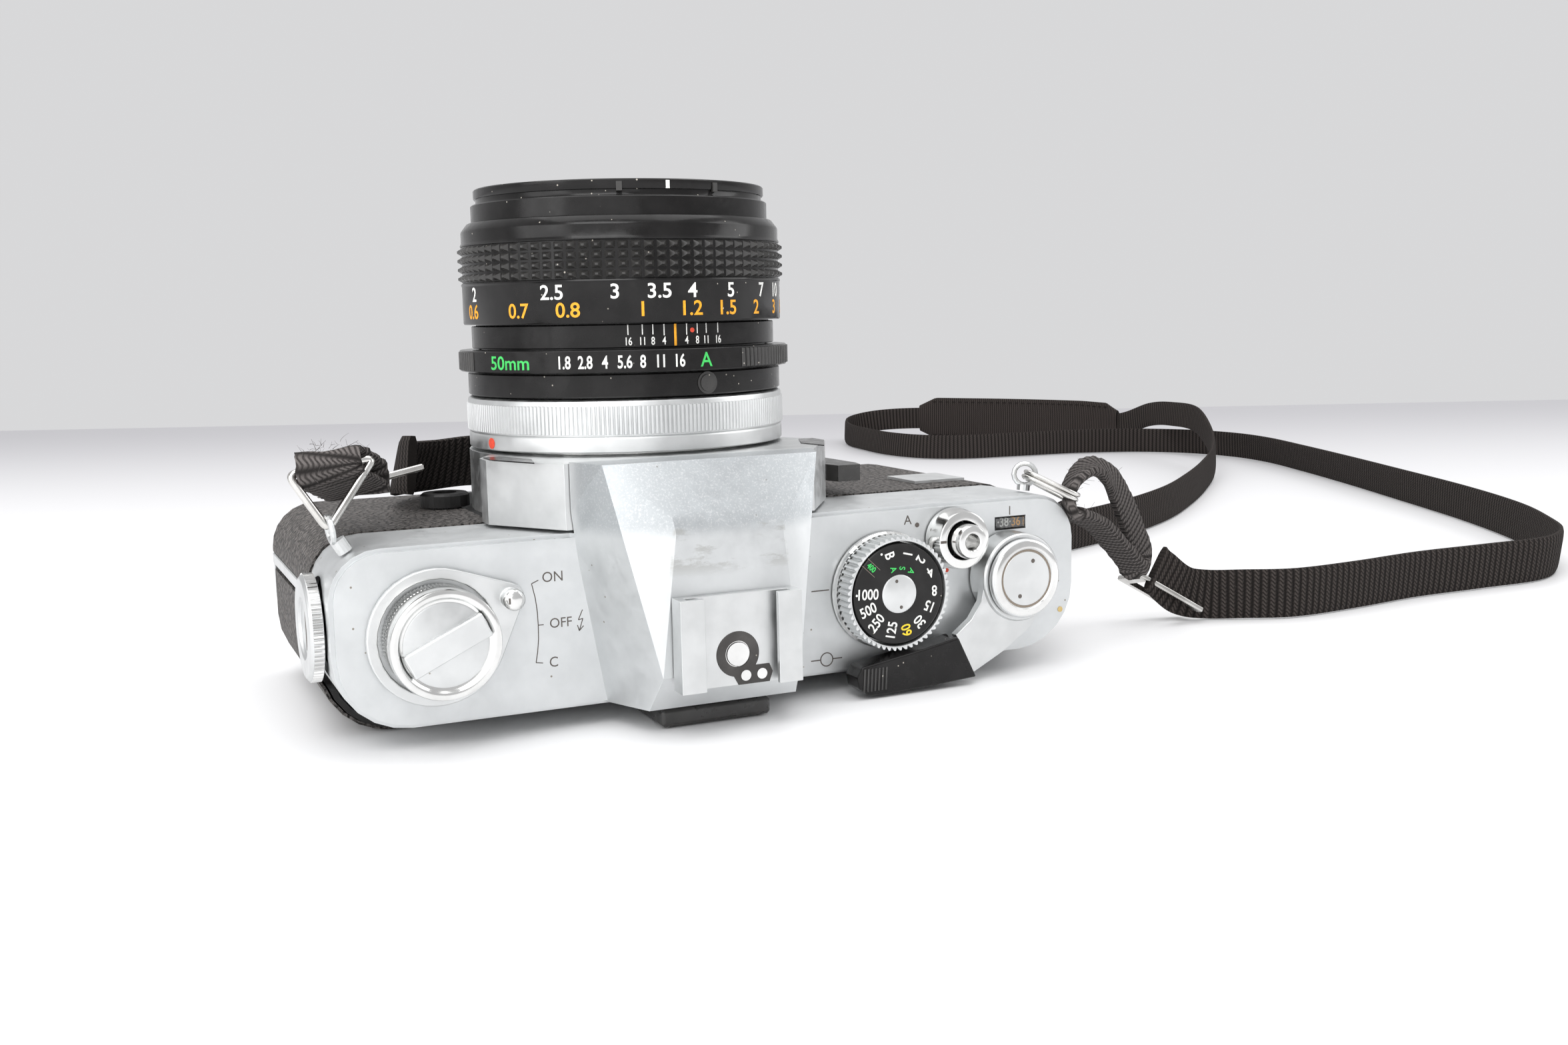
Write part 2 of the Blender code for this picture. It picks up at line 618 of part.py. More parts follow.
def release_button():
    profile = [(0, 3.6), (1.5, 3.6), (1.5, 8.0), (2.6, 8.0), (3.25, 7.4), (3.25, -2.0), (0, -2.0)]
    obj = turned("release_button", profile, deck(*RELEASE), DECK, 28, closed=False)
    return finish(obj, "bright_chrome")


LEVER_TOP = 5.6


def lever_arm_outline():
    """Bent arm of the advance lever, in (x, z) about its pivot."""
    cx, cz = LEVER
    outer_edge = [(69.5, 14.2), (66.6, 9.4), (60.6, 5.4), (53.8, 2.0)]
    inner_edge = [(50.0, 9.6), (53.4, 12.2), (55.6, 15.4), (56.4, 20.0)]
    return [(x - cx, z - cz) for x, z in outer_edge + inner_edge]


def advance_lever():
    profile = [(0, LEVER_TOP), (8.2, LEVER_TOP), (8.5, LEVER_TOP - 0.4), (8.5, 0.4), (3.2, 0.4),
               (3.2, -3.0), (0, -3.0)]
    obj = turned("advance_lever", profile, deck(*LEVER), DECK, 40, closed=False)
    join(obj, outline("lever_arm", [lever_arm_outline()[::-1]], 3.2, LEVER_TOP - 0.6, deck(*LEVER), DECK))
    return finish(obj, "satin_chrome")


def lever_tip():
    """Moulded thumb rest at the lever's free end."""
    points = [(49.4, 9.6), (53.3, 1.6), (44.0, 1.0), (33.5, 0.6), (30.6, 0.7), (28.3, 2.2),
              (28.0, 4.4), (29.0, 6.2), (35.2, 7.2), (42.5, 8.3)]
    obj = outline("lever_tip", [points], 2.1, 7.0, deck(0, 0), DECK)
    cut(obj, box("tip_slot", (48.6, 0, 2.9), (60, 12, LEVER_TOP - 0.3), 0.0, deck(0, 0), DECK))
    return finish(obj, "black_plastic")


def lever_cap():
    profile = [(0, 7.0), (5.4, 7.0), (5.6, 7.15), (7.2, 7.15), (7.6, 6.7), (7.6, LEVER_TOP + 0.3),
               (0, LEVER_TOP + 0.3)]
    obj = turned("lever_cap", profile, deck(*LEVER), DECK, 40, closed=False)
    return finish(obj, "bright_chrome")


def counter_disc():
    profile = [(3.7, -1.4), (11.2, -1.4), (11.2, -2.1), (3.7, -2.1)]
    return finish(turned("frame_counter_disc", profile, deck(*LEVER), DECK, 36), "black_metal")


def counter_window():
    obj = box("counter_window", (62.1, 28.3, -0.75), (68.5, 30.2, -0.1), 0.0, deck(0, 0), DECK)
    return finish(obj, "clear_glass")


# ---------------------------------------------------------------- ends, base and front fittings
def battery_cap():
    profile = [(0, 2.1), (5.0, 2.1), (5.3, 2.7), (8.4, 2.7), (9.0, 2.2), (9.0, 0.35), (0, 0.35)]
    obj = turned("battery_cap", profile, (X_LEFT, *BATTERY), LEFT, 36, closed=False)
    return finish(obj, "satin_chrome")


def ring_lug(name, eye, axis, root):
    """A stud with an eye for the strap ring."""
    eye, root, axis = Vector(eye), Vector(root), Vector(axis).normalized()
    major, minor = 2.15, 0.5
    bpy.ops.mesh.primitive_torus_add(major_segments=16, minor_segments=8, major_radius=major * MM,
                                     minor_radius=minor * MM, location=eye * MM)
    obj = bpy.context.object
    obj.name = name
    obj.rotation_euler = axis.to_track_quat('Z', 'Y').to_euler()
    for owner in list(obj.users_collection):
        owner.objects.unlink(obj)
    stem_top = eye + (root - eye).normalized() * (major - 0.1)
    along = (root - stem_top)
    stem = rod(name + "_stem", 1.3, 0.0, along.length, stem_top,
               along.to_track_quat('Z', 'Y').to_euler(), 14)
    join(obj, stem)
    return finish(obj, "satin_chrome")


LEFT_EYE = (-61.1, -28.0, 37.0)
LEFT_RING = ((-66.7, -24.6, 46.0), (-52.8, -24.0, 47.9))
RIGHT_EYE = (73.2, -28.2, 37.6)
RIGHT_RING_END = (81.0, -34.6, 32.6)


def left_ring():
    """Triangular wire ring that passes through the left eye."""
    corners = [Vector(LEFT_EYE) - Vector((0.3, 0, 0)), Vector(LEFT_RING[0]), Vector(LEFT_RING[1])]
    points = []
    for i, corner in enumerate(corners):
        before = (corners[i - 1] - corner).normalized()
        after = (corners[(i + 1) % 3] - corner).normalized()
        radius = 1.6
        for step in range(5):
            t = step / 4
            points.append(corner + before * radius * (1 - t) ** 2 + after * radius * t ** 2)
    return finish(wire("left_ring", points, 0.55, cyclic=True), "steel_wire")


def right_ring():
    """Oblong split ring from the right eye outwards."""
    eye, end = Vector(RIGHT_EYE), Vector(RIGHT_RING_END)
    centre, long_axis = (eye + end) / 2, (end - eye)
    half = long_axis.length / 2
    long_axis.normalize()
    side = Vector((0.5, 0.85, -0.1))
    side = (side - long_axis * side.dot(long_axis)).normalized()
    steps = 28

    def squared(value):
        return math.copysign(abs(value) ** 0.45, value)

    points = [centre + long_axis * half * squared(math.cos(math.tau * i / steps))
              + side * 4.3 * squared(math.sin(math.tau * i / steps)) for i in range(steps)]
    return finish(wire("right_ring", points, 0.75, cyclic=True), "steel_wire")


FLASH_SOCKET = (-33.5, 12.0)


def flash_socket():
    profile = [(0, 0.9), (2.3, 0.9), (2.3, 2.6), (4.2, 2.6), (4.7, 2.2), (4.7, 0.0), (0, 0.0)]
    obj = turned("flash_socket", profile, (*FLASH_SOCKET, Z_FRONT + 0.55), FRONT, 28, closed=False)
    return finish(obj, "black_metal")


def self_timer_lever():
    profile = [(0, 41.0), (4.4, 41.0), (5.0, 40.4), (5.0, 36.6), (2.6, 36.6), (2.6, 33.4), (0, 33.4)]
    obj = turned("self_timer_lever", profile, (*TIMER, 0), FRONT, 28, closed=False)
    tail = [(-2.3, 0.0), (2.3, 0.0), (3.2, -20.0), (2.4, -23.4), (-2.4, -23.4), (-3.2, -20.0)]
    join(obj, outline("timer_tail", [tail[::-1]], 37.4, 40.6, (*TIMER, 0)))
    return finish(obj, "black_plastic")


def tripod_socket():
    profile = [(0, 31.2), (3.2, 31.2), (3.2, BASE_Y - 0.1), (5.6, BASE_Y - 0.1),
               (6.0, BASE_Y - 0.4), (6.0, 30.2), (0, 30.2)]
    obj = turned("tripod_socket", profile, (TRIPOD[0], 0, TRIPOD[1]), BASE, 32, closed=False)
    return finish(obj, "bright_chrome")


def rewind_button():
    profile = [(0, BASE_Y + 0.2), (2.6, BASE_Y + 0.2), (3.0, BASE_Y - 0.2),
               (3.0, DOOR_BASE_Y + 0.4), (0, DOOR_BASE_Y + 0.4)]
    obj = turned("rewind_button", profile, (REWIND_BUTTON[0], 0, REWIND_BUTTON[1]), BASE, 20,
                 closed=False)
    return finish(obj, "bright_chrome")


# ---------------------------------------------------------------- lens
def lens_barrel():
    """Fixed core of the lens, from its bayonet to the depth-of-field scale."""
    profile = [(25.2, 72.0), (27.9, 72.0), (27.9, 69.0), (28.8, 69.0), (28.8, 64.9), (27.2, 64.9),
               (27.2, 60.4), (29.8, 60.4), (29.8, 56.3), (26.3, 56.3), (26.3, 49.3), (21.2, 49.3),
               (21.2, 44.0), (13.2, 44.0), (13.2, 54.0), (25.2, 54.0)]
    return finish(turned("lens_barrel", profile, sides=56), "black_metal")


def breech_ring():
    profile = [(27.0, 55.95), (29.6, 55.95), (30.3, 55.3), (30.3, 49.5), (30.0, 49.2), (30.0, 46.6),
               (27.0, 46.6)]
    return finish(turned("breech_lock_ring", profile, sides=56), "satin_chrome")


def aperture_ring():
    profile = [(27.7, 64.6), (31.2, 64.6), (31.5, 64.3), (31.5, 61.0), (31.2, 60.7), (27.7, 60.7)]
    return finish(turned("aperture_ring", profile, sides=56), "black_gloss")


def focus_ring():
    profile = [(28.4, 87.9), (28.8, 87.9), (30.0, 86.4), (30.0, 84.0), (30.9, 83.7), (30.9, 76.8),
               (30.2, 76.5), (30.2, 69.3), (28.4, 69.3)]
    return finish(turned("focus_ring", profile, sides=56), "black_gloss")


def front_barrel():
    profile = [(25.9, 94.1), (27.4, 94.1), (27.4, 92.5), (27.0, 92.3), (27.0, 91.4), (28.0, 91.2),
               (28.0, 76.0), (25.6, 76.0), (25.6, 83.4), (17.0, 83.4), (17.0, 87.6), (18.2, 87.9),
               (25.0, 91.0), (25.9, 91.4)]
    return finish(turned("front_barrel", profile, sides=56), "black_gloss")


def lens_element(name, radius, front, rear, bulge_front, bulge_rear):
    """A glass with two domed faces."""
    steps = 4

    def dome(edge, bulge):
        return [(radius * i / steps, edge + bulge * (1 - (i / steps) ** 2)) for i in range(steps + 1)]

    profile = dome(front, bulge_front) + dome(rear, bulge_rear)[::-1]
    return finish(turned(name, profile, sides=40, closed=False), "lens_glass")


# ---------------------------------------------------------------- neck strap
STRAP_Z = STRAP_W / 2 + 0.35     # centre of the webbing where it stands on the table
PAD_Z = PAD_W / 2 + 0.35

STRAP_ROUTE = [
    (-41.0, 4.0, 43.6), (-41.6, 12.0, 43.0), (-39.6, 22.0, 41.4), (-32.0, 32.5, 40.6),
    (-19.0, 39.0, 40.4), (-4.0, 44.5, 37.0), (14.0, 50.5, 28.0), (36.0, 55.0, 17.0),
    (62.0, 58.5, 8.5), (92.0, 61.5, STRAP_Z), (126.0, 67.0, STRAP_Z), (160.0, 79.0, STRAP_Z),
    (190.0, 93.0, STRAP_Z), (223.0, 114.0, STRAP_Z), (254.0, 140.0, STRAP_Z),
    (286.0, 170.0, STRAP_Z), (316.0, 200.0, 7.0), (340.0, 229.0, 11.0), (356.0, 258.0, 18.4),
    (364.0, 284.0, 19.2), (368.0, 306.0, 17.6), (368.0, 330.0, PAD_Z), (362.0, 356.0, PAD_Z),
    (350.0, 384.0, PAD_Z), (334.0, 410.0, PAD_Z), (315.0, 433.0, PAD_Z), (300.0, 446.0, 10.4),
    (287.0, 450.0, 8.6), (275.0, 441.0, 7.0), (266.0, 420.0, STRAP_Z), (260.0, 392.0, STRAP_Z),
    (257.0, 362.0, STRAP_Z), (262.0, 338.0, STRAP_Z), (277.0, 325.0, STRAP_Z),
    (304.0, 321.0, STRAP_Z), (334.0, 317.0, STRAP_Z), (358.0, 306.0, STRAP_Z),
    (374.0, 286.0, STRAP_Z), (379.0, 260.0, STRAP_Z), (374.0, 232.0, STRAP_Z),
    (360.0, 196.0, STRAP_Z), (342.0, 154.0, STRAP_Z), (322.0, 110.0, STRAP_Z),
    (300.0, 63.0, STRAP_Z), (280.0, 27.0, STRAP_Z), (262.0, 3.0, STRAP_Z),
    (247.0, -13.0, STRAP_Z), (231.0, -21.0, STRAP_Z), (210.0, -21.5, STRAP_Z),
    (188.0, -21.5, STRAP_Z), (166.0, -24.0, STRAP_Z), (148.0, -24.5, STRAP_Z),
    (137.0, -20.0, STRAP_Z), (129.6, -16.0, STRAP_Z),
]
PAD_SPAN = (21, 25)              # route points that the shoulder pad covers


def smooth_route(points, per_span=6):
    """Centripetal curve through the route's points, densely sampled."""
    pts = [Vector(p) for p in points]
    pts = [pts[0] * 2 - pts[1]] + pts + [pts[-1] * 2 - pts[-2]]
    dense = []
    for a, b, c, d in zip(pts, pts[1:], pts[2:], pts[3:]):
        for step in range(per_span):
            t = step / per_span
            dense.append(0.5 * ((2 * b) + (c - a) * t + (2 * a - 5 * b + 4 * c - d) * t * t
                                + (3 * b - a - 3 * c + d) * t ** 3))
    return dense + [pts[-2]]


def resample(points, spacing):
    """Evenly spaced points along a dense line."""
    total = sum((b - a).length for a, b in zip(points, points[1:]))
    count = max(2, round(total / spacing))
    step, made, travelled = total / count, [points[0]], 0.0
    for a, b in zip(points, points[1:]):
        span = (b - a).length
        while len(made) <= count and travelled + span >= step * len(made) - 1e-6:
            made.append(a.lerp(b, (step * len(made) - travelled) / span))
        travelled += span
    return made[:count] + [points[-1]]


def shortened(points, at_start, at_end):
    """The same line with a little taken off its ends."""
    points = list(points)
    points[0] = points[0] + (points[1] - points[0]).normalized() * at_start
    points[-1] = points[-1] + (points[-2] - points[-1]).normalized() * at_end
    return points


def ribbon(name, points, width, thick, colour):
    """Flat webbing that stands on its edge along a line of points."""
    profile = bpy.data.curves.new(name + "_section", 'CURVE')
    profile.dimensions = '2D'
    spline = profile.splines.new('POLY')
    spline.points.add(3)
    half_t, half_w = thick / 2 * MM, width / 2 * MM
    for point, (x, y) in zip(spline.points, ((-half_t, -half_w), (half_t, -half_w),
                                            (half_t, half_w), (-half_t, half_w))):
        point.co = (x, y, 0.0, 1.0)
    spline.use_cyclic_u = True
    section = as_tool(bpy.data.objects.new(name + "_section", profile))
    curve = bpy.data.curves.new(name, 'CURVE')
    curve.dimensions = '3D'
    curve.twist_mode = 'Z_UP'
    curve.bevel_mode = 'OBJECT'
    curve.bevel_object = section
    curve.use_fill_caps = True
    line = curve.splines.new('POLY')
    line.points.add(len(points) - 1)
    for point, co in zip(line.points, points):
        point.co = (*(co * MM), 1.0)
    return finish(welded_mesh(bpy.data.objects.new(name, curve), name), colour)


def loop_band(name, path, thick, width, origin, run, rise, across):
    """A closed band of webbing: its side view (run, rise) swept across its width."""
    inner, outer = [], []
    count = len(path)
    for i, (u, v) in enumerate(path):
        before, after = path[i - 1], path[(i + 1) % count]
        tangent = Vector((after[0] - before[0], after[1] - before[1])).normalized()
        normal = Vector((tangent.y, -tangent.x)) * thick / 2
        outer.append((u + normal.x, v + normal.y))
        inner.append((u - normal.x, v - normal.y))
    obj = outline(name, [outer, inner[::-1]], -width / 2, width / 2)
    columns = [Vector(axis).normalized() for axis in (run, rise, across)]
    slant = Matrix(columns).transposed().to_4x4()
    obj.data.transform(Matrix.Translation(Vector(origin) * MM) @ slant)
    if slant.determinant() < 0:
        obj.data.flip_normals()
    return finish(obj, "webbing")


def left_strap_loop():
    """Webbing doubled round the left ring's bar, ending at the slider."""
    half, reach = 1.75, 14.6
    path = (arc(0, 0, half, 90, 270, 6) + [(reach, -half)]
            + arc(reach, 0, half, -60, 60, 3) + [(reach, half)])
    centre = (Vector(LEFT_RING[0]) + Vector(LEFT_RING[1])) / 2
    return loop_band("left_strap_loop", path, 1.3, 8.6, centre, (0.42, 0.86, -0.28), (0, 0.1, 1),
                     Vector(LEFT_RING[1]) - Vector(LEFT_RING[0]))


def right_strap_loop():
    """Webbing bunched through the split ring, arched over and down to its slider."""
    path = [(-3.7, 0.4), (-2.9, -1.9), (0.6, -3.0), (11.0, -6.8), (21.0, -12.6), (30.0, -18.2),
            (32.6, -17.8), (33.2, -15.4), (30.8, -12.0), (24.0, -3.6), (17.0, 3.6), (11.0, 7.0),
            (6.0, 7.8), (1.6, 6.5), (-2.2, 3.4)]
    across = Vector((0.55, 0.83, -0.1))
    return loop_band("right_strap_loop", path, 2.0, 2.4, Vector(RIGHT_RING_END) + across * 1.6,
                     (0.87, 0.49, 0), (0, 0, 1), across)


def slider(name, centre, across, facing):
    """Rectangular plate with a slot that gathers the doubled webbing."""
    slot_w, slot_h, rim, thick = 6.7, 2.8, 2.5, 1.2
    across, facing = Vector(across).normalized(), Vector(facing).normalized()
    up = facing.cross(across).normalized()
    turn = Matrix((across, up, across.cross(up))).transposed().to_euler()
    obj = box(name, (-slot_w - rim, -slot_h - rim * 0.6, -thick / 2),
              (slot_w + rim, slot_h + rim * 0.6, thick / 2), 0.25, centre, turn)
    cut(obj, box(name + "_slot", (-slot_w, -slot_h, -thick), (slot_w, slot_h, thick), 0.0, centre,
                 turn))
    return finish(obj, "steel_wire")


def strap_pieces():
    """The strap in three lengths, left webbing, shoulder pad and right webbing."""
    per_span, spacing = 6, 24.0
    line = smooth_route(STRAP_ROUTE, per_span)
    pad_start, pad_end = (index * per_span for index in PAD_SPAN)
    ribbon("neck_strap_left", resample(shortened(line[:pad_start + 1], 0, 2.0), spacing), STRAP_W,
           STRAP_T, "webbing")
    ribbon("strap_pad", resample(line[pad_start:pad_end + 1], spacing), PAD_W, PAD_T, "webbing")
    ribbon("neck_strap_right", resample(shortened(line[pad_end:], 1.0, 0), spacing), STRAP_W,
           STRAP_T, "webbing")
    slider("left_slider", (-50.2, -4.0, 42.0), (1.0, 0.0, 0.2), (0.0, 0.15, 1.0))
    slider("right_slider", (119.0, -13.6, 6.6), (0.86, -0.1, -0.5), (0.5, 0.2, 0.86))
    left_strap_loop()
    right_strap_loop()


# ---------------------------------------------------------------- the camera
PIECES = (
    body_casting, top_cover, base_plate, back_door, door_leather, door_strip, pressure_plate,
    hinge_pin, front_plate, body_mount_ring, mirror_box, reflex_mirror,
    focusing_screen, pentaprism, eyepiece_frame, eyepiece_lens, shutter_curtain, take_up_spool,
    sprocket, meter_switch, rewind_knob, rewind_shaft, rewind_crank, hot_shoe, shoe_contact,
    dial_skirt, speed_ring, speed_dial, release_collar, release_button, advance_lever, lever_tip,
    lever_cap, counter_disc, counter_window, battery_cap, left_ring, right_ring,
    flash_socket, self_timer_lever, tripod_socket, rewind_button, lens_barrel, breech_ring,
    aperture_ring, focus_ring, front_barrel, strap_pieces,
)

for build_piece in PIECES:
    build_piece()
front_covering("front_leather_left", -1)
front_covering("front_leather_right", 1)
ring_lug("left_lug", LEFT_EYE, Vector(LEFT_RING[1]) - Vector(LEFT_RING[0]), (-58.88, -28.0, 33.2))
ring_lug("right_lug", RIGHT_EYE, (0.5, 0.85, -0.1), (72.8, -28.2, 34.4))
lens_element("front_element", 16.6, 86.2, 84.2, 1.4, -0.6)
lens_element("rear_element", 12.8, 52.0, 46.0, 0.8, -1.0)
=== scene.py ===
"""Looks of a 35 mm single-lens reflex camera that lies on its back, with its neck strap.

The camera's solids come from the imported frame, and this script gives them their materials,
markings and fine shapes.  The script's own unit is the millimetre; MM turns it into metres.
Frame: +Z is the lens axis, -Y the camera's top plate, +X its release side.
"""
import json
import math
import random

import bmesh
import bpy
from mathutils import Matrix, Vector

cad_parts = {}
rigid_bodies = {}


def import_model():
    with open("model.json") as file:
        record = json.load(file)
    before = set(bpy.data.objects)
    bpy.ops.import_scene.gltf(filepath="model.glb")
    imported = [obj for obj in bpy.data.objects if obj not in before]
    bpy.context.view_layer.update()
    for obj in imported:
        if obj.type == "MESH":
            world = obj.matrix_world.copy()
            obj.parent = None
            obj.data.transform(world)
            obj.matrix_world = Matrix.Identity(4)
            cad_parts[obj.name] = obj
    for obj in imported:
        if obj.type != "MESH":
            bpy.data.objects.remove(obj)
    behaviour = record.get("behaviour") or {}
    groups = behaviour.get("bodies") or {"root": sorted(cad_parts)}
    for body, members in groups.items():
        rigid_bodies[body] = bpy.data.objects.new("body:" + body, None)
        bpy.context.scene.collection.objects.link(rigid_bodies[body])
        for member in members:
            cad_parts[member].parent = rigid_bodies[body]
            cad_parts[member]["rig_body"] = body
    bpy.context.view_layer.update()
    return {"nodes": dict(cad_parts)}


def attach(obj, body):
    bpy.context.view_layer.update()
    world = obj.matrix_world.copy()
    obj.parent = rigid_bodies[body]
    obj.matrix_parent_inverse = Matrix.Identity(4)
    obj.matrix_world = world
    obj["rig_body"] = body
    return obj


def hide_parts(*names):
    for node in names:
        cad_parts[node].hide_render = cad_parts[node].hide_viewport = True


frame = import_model()
NODES = frame["nodes"]
MM = 0.001
random.seed(7)

# ---------------------------------------------------------------- sizes shared with the frame
DECK_Y, BASE_Y, LEFT_X = -35, 39, -63    # faces of the top plate, base plate and left end
DIAL = (37.3, 18.9)
DIAL_TOP = 5.9                   # above the deck
LEVER = (64.4, 19.4)
REWIND = (-46.3, 19)
RELEASE = (52, 27.5)
BATTERY = (-22, 20)
SHOE_CONTACT = (0, 14.2)
TRIPOD = (8.7, 19)
BARREL_R, FOCUS_R, APERTURE_R = 28.8, 30.2, 31.2
STRAP_W, STRAP_T = 11, 1.5
PAD_W, PAD_T = 22, 3.4


# ================================================================ materials
class Shader:
    """A procedural material that is built one node at a time."""

    def __init__(self, name, colour, metallic=0, roughness=0.5):
        self.material = bpy.data.materials.new(name)
        self.material.use_nodes = True
        self.tree = self.material.node_tree
        self.bsdf = self.tree.nodes["Principled BSDF"]
        self.coordinates = self.node("ShaderNodeTexCoord").outputs["Object"]
        self.height = None
        self.set("Base Color", (*colour, 1))
        self.set("Metallic", metallic)
        self.set("Roughness", roughness)

    def node(self, kind, inputs=(), **settings):
        """A node whose inputs take numbers or the outputs of other nodes, by name or by index."""
        made = self.tree.nodes.new(kind)
        for key, value in settings.items():
            setattr(made, key, value)
        for socket, value in dict(inputs).items():
            self.link(value, made.inputs[socket])
        return made

    def link(self, value, socket):
        if isinstance(value, bpy.types.NodeSocket):
            self.tree.links.new(value, socket)
        else:
            socket.default_value = value

    def set(self, socket, value):
        self.link(value, self.bsdf.inputs[socket])

    def grain(self, size, detail=3, roughness=0.55, stretch=(1, 1, 1)):
        """Noise with features about size millimetres across."""
        scale = [1 / (size * MM * s) for s in stretch]
        mapping = self.node("ShaderNodeMapping", {"Scale": scale, "Vector": self.coordinates})
        return self.node("ShaderNodeTexNoise", {"Scale": 1, "Detail": detail, "Roughness": roughness,
                                                "Vector": mapping.outputs[0]}).outputs["Fac"]

    def cells(self, size, feature='F1'):
        """Cells about size millimetres across: their distances and their random colours."""
        return self.node("ShaderNodeTexVoronoi", {"Scale": 1 / (size * MM), "Vector": self.coordinates},
                         feature=feature).outputs

    def span(self, value, low, high, to_low=0, to_high=1):
        """Map a range of a value onto another, held at both ends."""
        return self.node("ShaderNodeMapRange", {"Value": value, "From Min": low, "From Max": high,
                                                "To Min": to_low, "To Max": to_high},
                         interpolation_type='SMOOTHSTEP').outputs["Result"]

    def maths(self, operation, a, b=0):
        return self.node("ShaderNodeMath", {0: a, 1: b}, operation=operation).outputs[0]

    def times(self, a, b):
        return self.maths('MULTIPLY', a, b)

    def blend(self, factor, a, b):
        """Mix two colours."""
        a, b = (c if isinstance(c, bpy.types.NodeSocket) else (*c, 1) for c in (a, b))
        return self.node("ShaderNodeMix", {0: factor, 6: a, 7: b}, data_type='RGBA').outputs[2]

    def axis(self, index):
        """One coordinate of the surface, in millimetres."""
        return self.times(self.node("ShaderNodeSeparateXYZ", {0: self.coordinates}).outputs[index], 1 / MM)

    def bump(self, height, depth, strength=1):
        """Raise the surface by height times depth millimetres."""
        inputs = {"Strength": strength, "Distance": depth * MM, "Height": height}
        if self.height is not None:
            inputs["Normal"] = self.height
        self.height = self.node("ShaderNodeBump", inputs).outputs[0]
        self.set("Normal", self.height)

    def specks(self, size, share, radius):
        """A mask of scattered dots: one per cell in a share of the cells."""
        made = self.cells(size)
        near = self.span(made["Distance"], radius, radius * 0.5)
        split = self.node("ShaderNodeSeparateColor", {0: made["Color"]})
        chosen = self.maths('LESS_THAN', split.outputs[0], share)
        return self.times(near, chosen)


def chrome(name, dark, light, rough, grain_depth, dirt=0):
    """Plated metal: cloudy tone, blasted grain, fine scratches and some grime."""
    s = Shader(name, light, 1, rough[0])
    cloud = s.grain(9, 4)
    tone = s.blend(s.span(cloud, 0.35, 0.65), dark, light)
    if dirt:
        spots = s.times(s.specks(1.7, 0.10 * dirt, 0.14), 0.8)
        tone = s.blend(spots, tone, (0.20, 0.16, 0.11))
    s.set("Base Color", tone)
    s.set("Roughness", s.span(s.grain(2.4, 5), 0.3, 0.7, *rough))
    s.bump(s.grain(0.11, 2), grain_depth)
    s.bump(s.grain(0.5, 3, stretch=(14, 1, 14)), 0.004, 0.35)
    return s


def black_paint(name, tone, rough, dust=0, texture=0.012, shine=0.3):
    """Black enamel with a fine orange peel, rubbed patches and dust."""
    s = Shader(name, tone, 0, rough[0])
    s.set("Specular IOR Level", shine)
    colour = s.blend(s.span(s.grain(5, 4), 0.35, 0.7), tone, [c * 1.5 + 0.002 for c in tone])
    if dust:
        spots = s.maths('MAXIMUM', s.specks(1.1, 0.09 * dust, 0.15), s.specks(3.1, 0.14 * dust, 0.07))
        colour = s.blend(spots, colour, (0.42, 0.39, 0.34))
        film = s.span(s.grain(3.2, 6, 0.7), 0.55, 0.85, 0, 0.02 * dust)
        colour = s.blend(film, colour, (0.30, 0.28, 0.25))
    s.set("Base Color", colour)
    s.set("Roughness", s.span(s.grain(1.8, 4), 0.3, 0.7, *rough))
    s.bump(s.grain(0.35, 2), texture)
    return s


def leatherette():
    s = Shader("leatherette", (0.03, 0.028, 0.027), 0, 0.6)
    pebble = s.span(s.cells(1.4, 'DISTANCE_TO_EDGE')["Distance"], 0, 0.26)
    wrinkle = s.grain(0.5, 5, 0.65)
    dust = s.maths('MAXIMUM', s.specks(1.5, 0.05, 0.10), s.specks(0.8, 0.03, 0.12))
    # painted shade and painted highlight, not wear: the colour runs from near black in the creases between
    # pebbles to light grey on their tops
    worn = s.blend(pebble, (0.004, 0.0035, 0.003), (0.115, 0.105, 0.100))
    mottled = s.blend(s.span(wrinkle, 0.42, 0.68), worn, (0.16, 0.147, 0.138))
    s.set("Base Color", s.blend(dust, mottled, (0.42, 0.39, 0.36)))
    s.set("Roughness", s.span(wrinkle, 0.3, 0.7, 0.44, 0.70))
    s.set("Specular IOR Level", 0.3)
    s.bump(pebble, 0.35)
    s.bump(wrinkle, 0.2)
    return s


def webbing(name, tone, rib, thread):
    """Woven strap: ribs across, threads along, with painted shade in the grooves between them and loose
    lint.
    """
    s = Shader(name, tone, 0, 0.92)
    split = s.node("ShaderNodeSeparateXYZ")
    s.link(s.node("ShaderNodeUVMap", uv_map="weave").outputs[0], split.inputs[0])
    along, across = (s.times(split.outputs[i], math.tau / size) for i, size in ((0, rib), (1, thread)))
    ribs = s.maths('ABSOLUTE', s.maths('SINE', s.times(along, 0.5)))
    flip = s.times(s.maths('SINE', along), 1.2)
    yarns = s.maths('ABSOLUTE', s.maths('SINE', s.maths('ADD', s.times(across, 0.5), flip)))
    weave = s.times(s.span(ribs, 0.05, 1), s.span(yarns, 0, 0.9, 0.3, 1))
    lint = s.span(s.grain(0.7, 6, 0.75), 0.58, 0.8, 0, 0.5)
    # painted shade: the weave's grooves between ribs and yarns are darkened to a fifth of the tone, and rib
    # tops are lightened
    shade = s.blend(weave, [c * 0.2 for c in tone], [c * 1.25 for c in tone])
    s.set("Base Color", s.blend(lint, shade, [c * 2.2 + 0.01 for c in tone]))
    s.set("Specular IOR Level", 0.12)
    s.bump(weave, 0.45)
    s.bump(s.grain(0.16, 3), 0.08)
    return s


def paint(name, colour):
    """Filled engraving or printed mark, slightly uneven."""
    s = Shader(name, colour, 0, 0.55)
    s.set("Base Color", s.blend(s.span(s.grain(0.6, 3), 0.35, 0.7), colour, [c * 0.8 for c in colour]))
    s.bump(s.grain(0.2, 2), 0.01)
    return s


